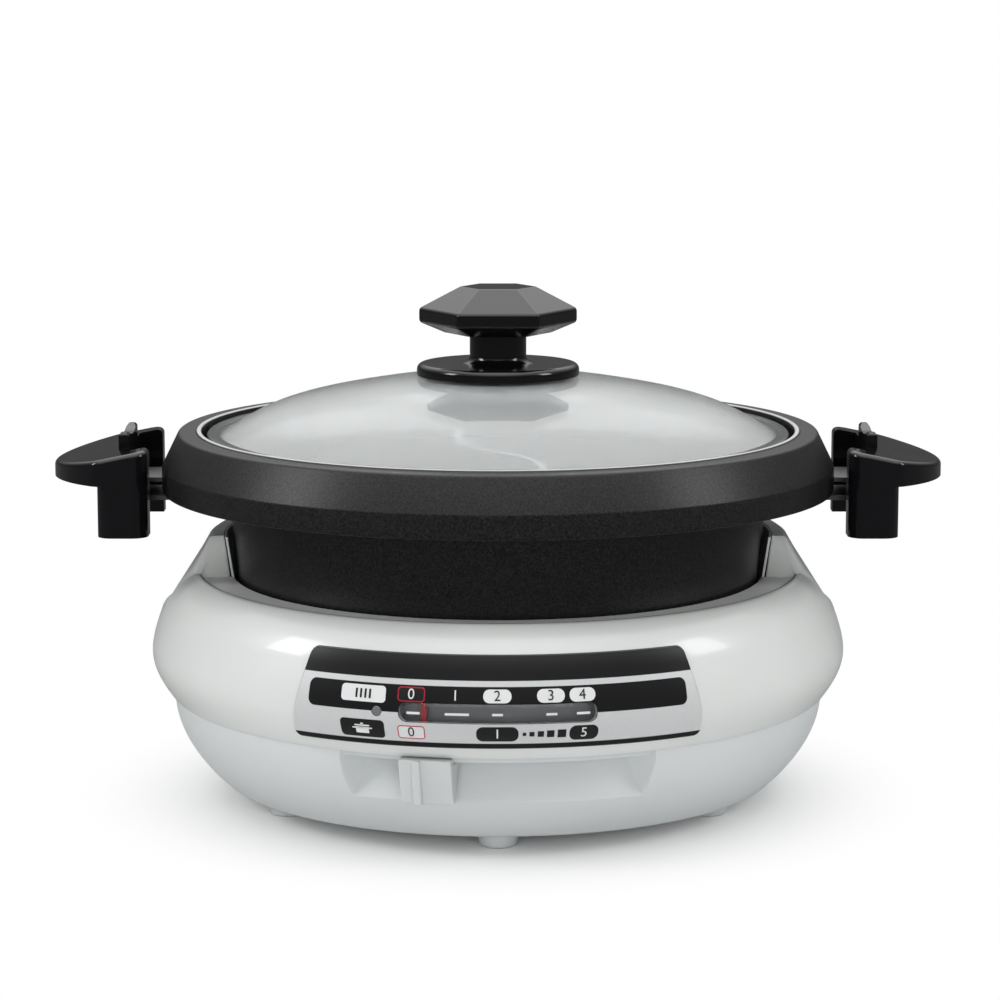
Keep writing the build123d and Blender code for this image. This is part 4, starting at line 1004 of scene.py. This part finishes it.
# Plain mesh of a ring of copies; the part points along +X and stands at the middle
def ringMesh(name, partMesh, count, radius, firstAngle, finish):
    part = newObject(name + "Part", partMesh)
    host = newObject(name + "Host", bpy.data.meshes.new(name + "Host"))
    ring = host.modifiers.new("ring", "NODES")
    ring.node_group = ringTree
    given = {"Part": part, "Count": count, "Radius": radius, "First Angle": math.radians(firstAngle),
             "Finish": finish}
    for item in ringTree.interface.items_tree:
        if item.name in given:
            ring[item.identifier] = given[item.name]
    return bakedMesh(host, part)


foot = {"r": 9.2 * mm, "taper": 1.0 * mm, "high": 8.0 * mm, "round": 2.2 * mm, "ring": 108.0 * mm, "count": 6,
        "firstAngle": -90.0, "dish": 0.6 * mm, "dishRound": 0.4 * mm, "dishIn": 2.5}


def footMesh(spec):
    low, high, dish, bend = spec["r"] - spec["taper"], spec["high"], spec["dish"], spec["dishRound"]
    dished = low - spec["dishIn"] * spec["round"]
    line = roundedLine([(0, dish, 0), (dished, dish, bend), (dished + dish, 0, bend), (low, 0, spec["round"]),
                        (spec["r"], high, 0), (0, high, 0)])
    return turnedMesh("foot", line, 40)


footPale = rubberFinish("footPale", (0.62, 0.64, 0.64), 0.45)
footRing = ringMesh("rubberFeet", footMesh(foot), foot["count"], foot["ring"], foot["firstAngle"], footPale)
addPiece("rubberFeet", footRing, footPale, "base", ["feet"])
print("feet done")

# Pan
pan = {
    "lipR": 134.4 * mm, "lipDepth": 8.0 * mm, "ledge": 6.6 * mm, "rimWidth": 10.2 * mm, "wall": 3.6 * mm,
    "wallTopR": 121.9 * mm, "wallTopDrop": 32.0 * mm, "wallFootR": 117.2 * mm, "underUp": 1.6 * mm,
    "floorThick": 6.2 * mm, "corner": 10.0 * mm, "footR": 115.4 * mm, "footWidth": 11.0 * mm,
    "footHigh": 5.4 * mm, "skirtR": 152.3 * mm, "skirtDrop": 27.0 * mm, "skirtBand": 10.6 * mm,
    "skirtWall": 3.2 * mm, "rimThick": 4.8 * mm, "bead": 1.8 * mm, "beadHigh": 0.8 * mm, "count": 360,
    "ledgeRound": 0.6 * mm, "seatRound": 1.2 * mm, "lipRound": 0.8 * mm, "beadRound": 0.4 * mm,
    "bendRound": 2.0 * mm, "hemOut": 0.9 * mm, "hemIn": 0.7 * mm, "ringStep": 1.4 * mm,
    "ringRound": 1.6 * mm, "footOut": 0.9 * mm, "footIn": 0.5 * mm,
    "innerStep": 2.2 * mm, "lipStep": 1.6 * mm, "wallStep": 2.6 * mm,
    "pocketR": 27.0 * mm, "pocketWall": 3.0 * mm, "pocketAngle": 163.5, "pocketOut": 110.0 * mm,
    "pocketDrop": 8.0 * mm, "pocketFlat": 1.25, "pocketRoof": 3.0 * mm, "pocketBlend": 2.5 * mm,
    "notchAngles": (-28.0, 28.0, 152.0, 208.0), "notchHalf": 1.3, "notchRamp": 0.5, "notchDeep": 1.6 * mm,
    "notchZone": 2.0 * mm, "pocketHalf": 60.0, "pocketStart": 0.3, "leadIn": 0.4 * mm, "leadDown": 0.8 * mm,
    "flatLead": 1.0 * mm, "lipWall": 0.8, "ledgeSlope": (0.45, 1.0), "underSlope": (-0.05, -1.0),
    "wallSlope": (-0.1, -1.0), "slotWide": 19.0 * mm, "slotGrow": 1.2 * mm, "slotPinch": 1.5 * mm,
    "slotOver": 1.0 * mm, "slotPast": 2.0 * mm,
}


# Larger of two radii, with a soft crossing
def softLarger(a, b, blend):
    near = max(0.0, blend - abs(a - b))
    return max(a, b) + near * near / (4 * blend)


# Degrees from a middle to a plan angle, between -180 and 180
def degreesFrom(middle, angle):
    return (math.degrees(angle) - middle + 180.0) % 360.0 - 180.0


# Radius of a wall point pushed out by the scoop pocket, a flattened ball that dies away under the ledge
def scooped(point, angle, ballR):
    p = pan
    away = degreesFrom(p["pocketAngle"], angle)
    side = p["pocketOut"] * math.sin(math.radians(away))
    rest = ballR ** 2 - ((point.y - panRimZ + p["pocketDrop"]) * p["pocketFlat"]) ** 2 - side ** 2
    if rest <= 0 or abs(away) > p["pocketHalf"]:
        return point.x
    reach = p["pocketOut"] * math.cos(math.radians(away)) + math.sqrt(rest)
    below = (panRimZ - p["lipDepth"] - point.y) / p["pocketRoof"]
    share = min(1.0, max(0.0, below - p["pocketStart"]))
    return point.x + (softLarger(point.x, reach, p["pocketBlend"]) - point.x) * share


# 1 in the middle of a ledge notch, 0 outside it
def notchShare(angle):
    share = 0.0
    for middle in pan["notchAngles"]:
        inside = pan["notchHalf"] + pan["notchRamp"] - abs(degreesFrom(middle, angle))
        share = max(share, min(1.0, max(0.0, inside / pan["notchRamp"])))
    return share


# Lines of the pan's section: inside, lip, rim and skirt, outer wall, foot
def panLines():
    p = pan
    ledgeZ, ledgeR = panRimZ - p["lipDepth"], p["lipR"] - p["ledge"]
    midZ, underZ, ringZ = panRimZ - p["wallTopDrop"], panSeatZ + p["underUp"], panSeatZ + p["footHigh"]
    floorZ, floorR = underZ + p["floorThick"], p["wallFootR"] - p["wall"]
    wallIn = p["wallTopR"] - p["wall"]
    slope = (wallIn - floorR) / (midZ - floorZ)
    inner = roundedLine([(0, floorZ, 0), (floorR, floorZ, p["corner"]), (wallIn, midZ, 0)], steps=10)
    inner += smoothLine([(wallIn, midZ), (ledgeR, ledgeZ)], (slope, 1.0), p["ledgeSlope"])[1:]
    flatR, flatZ = p["lipR"] + p["bead"] + p["beadHigh"], panRimZ - p["beadHigh"]
    flatStart = (flatR + p["flatLead"], flatZ, 0)
    lip = roundedLine([(ledgeR - p["leadIn"], ledgeZ - p["leadDown"], 0), (ledgeR, ledgeZ, p["ledgeRound"]),
                       (p["lipR"], ledgeZ, p["seatRound"]), (p["lipR"], panRimZ, p["lipRound"]),
                       (p["lipR"] + p["bead"], panRimZ, p["lipRound"]), (flatR, flatZ, p["beadRound"]),
                       flatStart])[1:]
    skirtZ, bandZ = panRimZ - p["skirtDrop"], panRimZ - p["skirtDrop"] + p["skirtBand"]
    skirtIn, underRim = p["skirtR"] - p["skirtWall"], panRimZ - p["rimThick"]
    rimOut, bend = p["lipR"] + p["rimWidth"], p["bendRound"]
    wallR = p["lipR"] + p["lipWall"] * p["wall"]
    hem = roundedLine([flatStart, (rimOut, flatZ, bend), (p["skirtR"], bandZ, bend),
                       (p["skirtR"], skirtZ, p["hemOut"]), (skirtIn, skirtZ, p["hemIn"]),
                       (skirtIn, bandZ, bend), (rimOut - p["skirtWall"], underRim, bend),
                       (wallR, underRim, 0)])[1:]
    wall = smoothLine([(wallR, underRim), (p["wallTopR"], midZ)], p["underSlope"], p["wallSlope"])
    wall += roundedLine([(p["wallTopR"], midZ, 0), (p["wallFootR"], ringZ + p["ringStep"], p["ringRound"]),
                         (p["footR"], ringZ, 0)])[1:]
    footIn = p["footR"] - p["footWidth"]
    base = roundedLine([(p["footR"], ringZ, 0), (p["footR"], panSeatZ, p["footOut"]),
                        (footIn, panSeatZ, p["footIn"]), (footIn, underZ, p["footIn"]), (0, underZ, 0)])[1:]
    return refined(inner, p["innerStep"]), refined(lip, p["lipStep"]), hem, refined(wall, p["wallStep"]), base


def panMesh():
    p = pan
    inner, lip, hem, wall, base = panLines()
    outerR, zone = p["pocketR"] + p["pocketWall"], p["notchZone"]
    angles = turns(p["count"])
    for middle in p["notchAngles"]:
        for edge in (p["notchHalf"], p["notchHalf"] + p["notchRamp"]):
            angles += [math.radians(middle + side * edge) for side in (-1, 1)]
    rows = []
    for angle in sorted(a % (2 * math.pi) for a in angles):
        notch = notchShare(angle) * p["notchDeep"]
        row = [around(scooped(q, angle, p["pocketR"]), angle, q.y) for q in inner]
        for q in lip:
            deep = notch if q.x > p["lipR"] - zone and q.y < panRimZ - zone else 0.0
            row.append(around(q.x + deep, angle, q.y))
        row += [around(q.x, angle, q.y) for q in hem]
        row += [around(scooped(q, angle, outerR), angle, q.y) for q in wall]
        row += [around(q.x, angle, q.y) for q in base]
        rows.append(row)
    return netMesh("panBody", rows, loopColumns=False)


# Slot with slanted sides across the front of the foot ring
def footSlot():
    p = pan
    low, high = panSeatZ - p["slotOver"], panSeatZ + p["underUp"]
    wide, narrow = p["slotWide"] / 2 + p["slotGrow"], p["slotWide"] / 2 - p["slotPinch"]
    front, back = -p["footR"] - p["slotPast"], -p["footR"] + p["footWidth"] + p["slotPast"]
    rows = [[Vector((x, y, z)) for x, z in ((-wide, low), (wide, low), (narrow, high), (-narrow, high))]
            for y in (front, back)]
    return netMesh("footSlot", rows, loopRows=False)


# Cast pan with a grainy dark coating, bare turned metal at its foot
# The lighter edge colour, with its widths and shares, is a painted highlight on the lip's top and the ledge
coat = {"dark": (0.004, 0.004, 0.0045), "light": (0.019, 0.0185, 0.019), "bare": (0.74, 0.74, 0.77),
        "highlightColour": (0.55, 0.55, 0.56), "highlightWide": 0.9 * mm, "highlightSoft": 0.2 * mm, "ledgeHighlight": 0.4, "ior": 1.33,
        "grainScale": 1100.0, "grainStep": (0.3, 0.75), "speckScale": 2640.0, "speckStep": (0.56, 0.72),
        "speckShare": 0.3, "speckBright": 3.0, "ringScale": 1500.0, "bareMetal": 0.3, "gloss": 0.44,
        "grainGloss": 0.1, "bareGloss": 0.08, "ringGloss": 0.1, "bump": 0.00004, "bumpStrength": 0.7,
        "ringBump": 0.4, "bareTone": (0.9, 1.08), "lipHighlight": 0.6, "footGap": 0.2 * mm, "footSoft": 0.1 * mm,
        "crestFrom": 0.05 * mm, "crestTo": 0.01 * mm}


# 1 on the lip's top and the ledge, where a lighter colour is painted as the highlight of their edges
def paintedEdgeHighlight(radius, z):
    wide, soft = coat["highlightWide"], coat["highlightSoft"]
    lipAt = (pan["lipR"] + 0.5 * pan["bead"], panRimZ)
    ledgeAt = (pan["lipR"] - pan["ledge"], panRimZ - pan["lipDepth"])
    lip = roundedBox(radius, z, lipAt, (coat["lipHighlight"] * pan["bead"], 0.5 * wide), 0.5 * wide, soft)
    ledge = roundedBox(radius, z, ledgeAt, (wide, wide), 0.5 * wide, soft)
    return lip.atLeast(ledge * coat["ledgeHighlight"])


# 1 on the bare foot ring
def footBare(z):
    top, soft = panSeatZ + pan["footHigh"] - coat["footGap"], coat["footSoft"]
    return 1 - z.step(top - soft, top + soft)


# 1 along the very top of the divider, which takes the bare metal colour
def crestBare(z):
    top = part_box("pan_divider")[1].z
    return z.step(top - coat["crestFrom"], top - coat["crestTo"])


def coatingFinish(name, spec, bareMask, highlightMask=None):
    material, wire, shader = newFinish(name, {"IOR": spec["ior"]})
    place = objectPlace(wire)
    x, y, z = axes(wire, place)
    radius = (x * x + y * y).root()
    bare = bareMask(z)
    grain = noise(wire, place, spec["grainScale"], 2.0, 0.6)
    specks = noise(wire, place, spec["speckScale"], 1.0).step(*spec["speckStep"])
    coating = mixColours(wire, grain.step(*spec["grainStep"]), tone(spec["dark"]), tone(spec["light"]))
    coating = mixColours(wire, specks * spec["speckShare"], coating, tone(spec["light"], spec["speckBright"]))
    # lighter colour painted on the lip and ledge edges as a highlight
    if highlightMask:
        coating = mixColours(wire, highlightMask(radius, z), coating, tone(spec["highlightColour"]))
    rings = noise(wire, wire.node("CombineXYZ", inputs={0: radius, 1: z}), spec["ringScale"], 3.0)
    metal = mottled(wire, rings, spec["bare"], *spec["bareTone"])
    mixColours(wire, bare, coating, metal).into(shader, "Base Color")
    (bare * spec["bareMetal"]).into(shader, "Metallic")
    dull = spec["gloss"] - grain * spec["grainGloss"] - bare * spec["bareGloss"]
    (dull + rings * bare * spec["ringGloss"]).into(shader, "Roughness")
    height = grain * (1 - bare) + rings * bare * spec["ringBump"]
    bump(wire, height, spec["bump"], spec["bumpStrength"]).into(shader, "Normal")
    return material


panCoat = coatingFinish("panCoat", coat, footBare, paintedEdgeHighlight)
dividerCoat = coatingFinish("dividerCoat", coat, crestBare)
addPiece("castPan", cutMesh(panMesh(), footSlot()), panCoat, "pan", ["pan_body"])
addSofts("pan", [("panDivider", "pan_divider", 1.2, dividerCoat, "pan_coating", 3)])
print("pan done")

# Handles and their brackets
phenolicBlack = plasticFinish("phenolicBlack", (0.004, 0.004, 0.005), 0.13, grain=0.00001, coat=0.0, ior=1.45)
bracketSteel = metalFinish("bracketSteel", (0.34, 0.34, 0.35), 0.3, "across")
screwDark = metalFinish("screwDark", (0.08, 0.08, 0.085), 0.36, "round")
for side in ("right", "left"):
    addSofts("pan", [(f"{side}Handle", f"handle_{side}", 1.1, phenolicBlack, "black_phenolic", 4),
                     (f"{side}Bracket", f"handle_bracket_{side}", 0.4, bracketSteel, "bracket_steel", 3)])
addSofts("pan", [("bracketScrews", "bracket_screws", 0.4, screwDark, "screw_steel", 3),
                 ("handleScrews", "handle_screws", 0.4, screwDark, "screw_steel", 3)])
print("handles done")

# Lid: glass, band, knob
lid = {"bandR": 132.1 * mm, "bandHigh": 6.5 * mm, "bandDeep": 5.6 * mm, "bandWall": 1.3 * mm,
       "bandRound": 1.5 * mm, "bandFoot": 0.5 * mm, "bandEdge": 0.4 * mm, "glassThick": 3.9 * mm,
       "glassGap": 0.05 * mm, "rise": 26.0 * mm, "landR": 24.0 * mm, "holeR": 4.4 * mm, "count": 256,
       "rimSlope": (-1.0, 0.5), "landSlope": (-1.0, 0.0), "domeSteps": 16,
       "dome": [(0.84, 0.415), (0.52, 0.82)]}  # dome: shares of the glass's radius and of its rise


def glassLine(down=0.0):
    rimZ = lidLowZ + lid["bandHigh"] - lid["bandWall"] - down
    edge, rise = lid["bandR"] - lid["bandDeep"], lid["rise"]
    dome = [(out * edge, rimZ + up * rise) for out, up in lid["dome"]]
    points = [(edge, rimZ), *dome, (lid["landR"], rimZ + rise)]
    return smoothLine(points, lid["rimSlope"], lid["landSlope"], lid["domeSteps"])


def glassMesh():
    edge, hole = lid["bandR"] - lid["bandWall"] - lid["glassGap"], lid["holeR"]
    top, under = glassLine(), list(reversed(glassLine(lid["glassThick"])))
    line = vectors((edge, top[0].y)) + top + vectors((hole, top[-1].y), (hole, under[0].y))
    line += under + vectors((edge, under[-1].y))
    return turnedMesh("lidGlass", line, lid["count"], closed=True)


def bandMesh():
    inside, edge = lid["bandR"] - lid["bandDeep"], lid["bandR"] - lid["bandWall"]
    low, high, soft = lidLowZ, lidLowZ + lid["bandHigh"], lid["bandRound"]
    rimZ = high - lid["bandWall"]
    under = rimZ - lid["glassThick"]
    line = roundedLine([(inside, low, lid["bandFoot"]), (lid["bandR"], low, soft), (lid["bandR"], high, soft),
                        (inside, high, lid["bandEdge"]), (inside, rimZ, 0), (edge, rimZ, 0), (edge, under, 0),
                        (inside, under, 0)], closed=True)
    return turnedMesh("lidBand", line, lid["count"], closed=True)


dimple = {"half": 3.6 * mm, "high": 1.5 * mm, "proud": 0.9 * mm, "up": 2.4 * mm, "angles": (-15.8, 15.8)}


# Low oval bump, its back inside the band, facing along +X from the middle
def dimpleMesh(spec):
    bm = bmesh.new()
    bmesh.ops.create_uvsphere(bm, u_segments=24, v_segments=14, radius=1.0)
    for vertex in bm.verts:
        vertex.co = (vertex.co.x * spec["proud"], vertex.co.y * spec["half"], vertex.co.z * spec["high"])
    bmesh.ops.translate(bm, verts=bm.verts, vec=(0, 0, lidLowZ + spec["up"]))
    return closedMesh("dimple", bm)


lidClear = clearFinish("lidClear", (0.85, 0.87, 0.87), gloss=0.07, ior=1.15, clear=0.72, coat=0.25)
bandSteel = metalFinish("bandSteel", (0.34, 0.35, 0.35), 0.2, "round", 0.1)
addPiece("lidGlass", glassMesh(), lidClear, "lid", ["lid_glass"])
addPiece("lidBand", bandMesh(), bandSteel, "lid", ["lid_rim_band"])
for i, angle in enumerate(dimple["angles"]):
    pressed = ringMesh(f"bandDimples{i}", dimpleMesh(dimple), 2, lid["bandR"], angle, bandSteel)
    addPiece(f"bandDimples{i}", pressed, bandSteel, "lid")
gasketGrey = rubberFinish("gasketGrey", (0.05, 0.05, 0.05))
addSofts("lid", [("lidKnob", "lid_knob", 0.0, phenolicBlack, "black_phenolic", 3),
                 ("knobBase", "knob_base", 0.0, phenolicBlack, "black_phenolic", 3),
                 ("knobGasket", "knob_gasket", 0.2, gasketGrey, "gasket", 3),
                 ("knobWasher", "knob_washer", 0.3, plainSteel, "screw_steel", 3),
                 ("knobScrew", "knob_screw", 0.2, plainSteel, "screw_steel", 3)])
print("lid done")
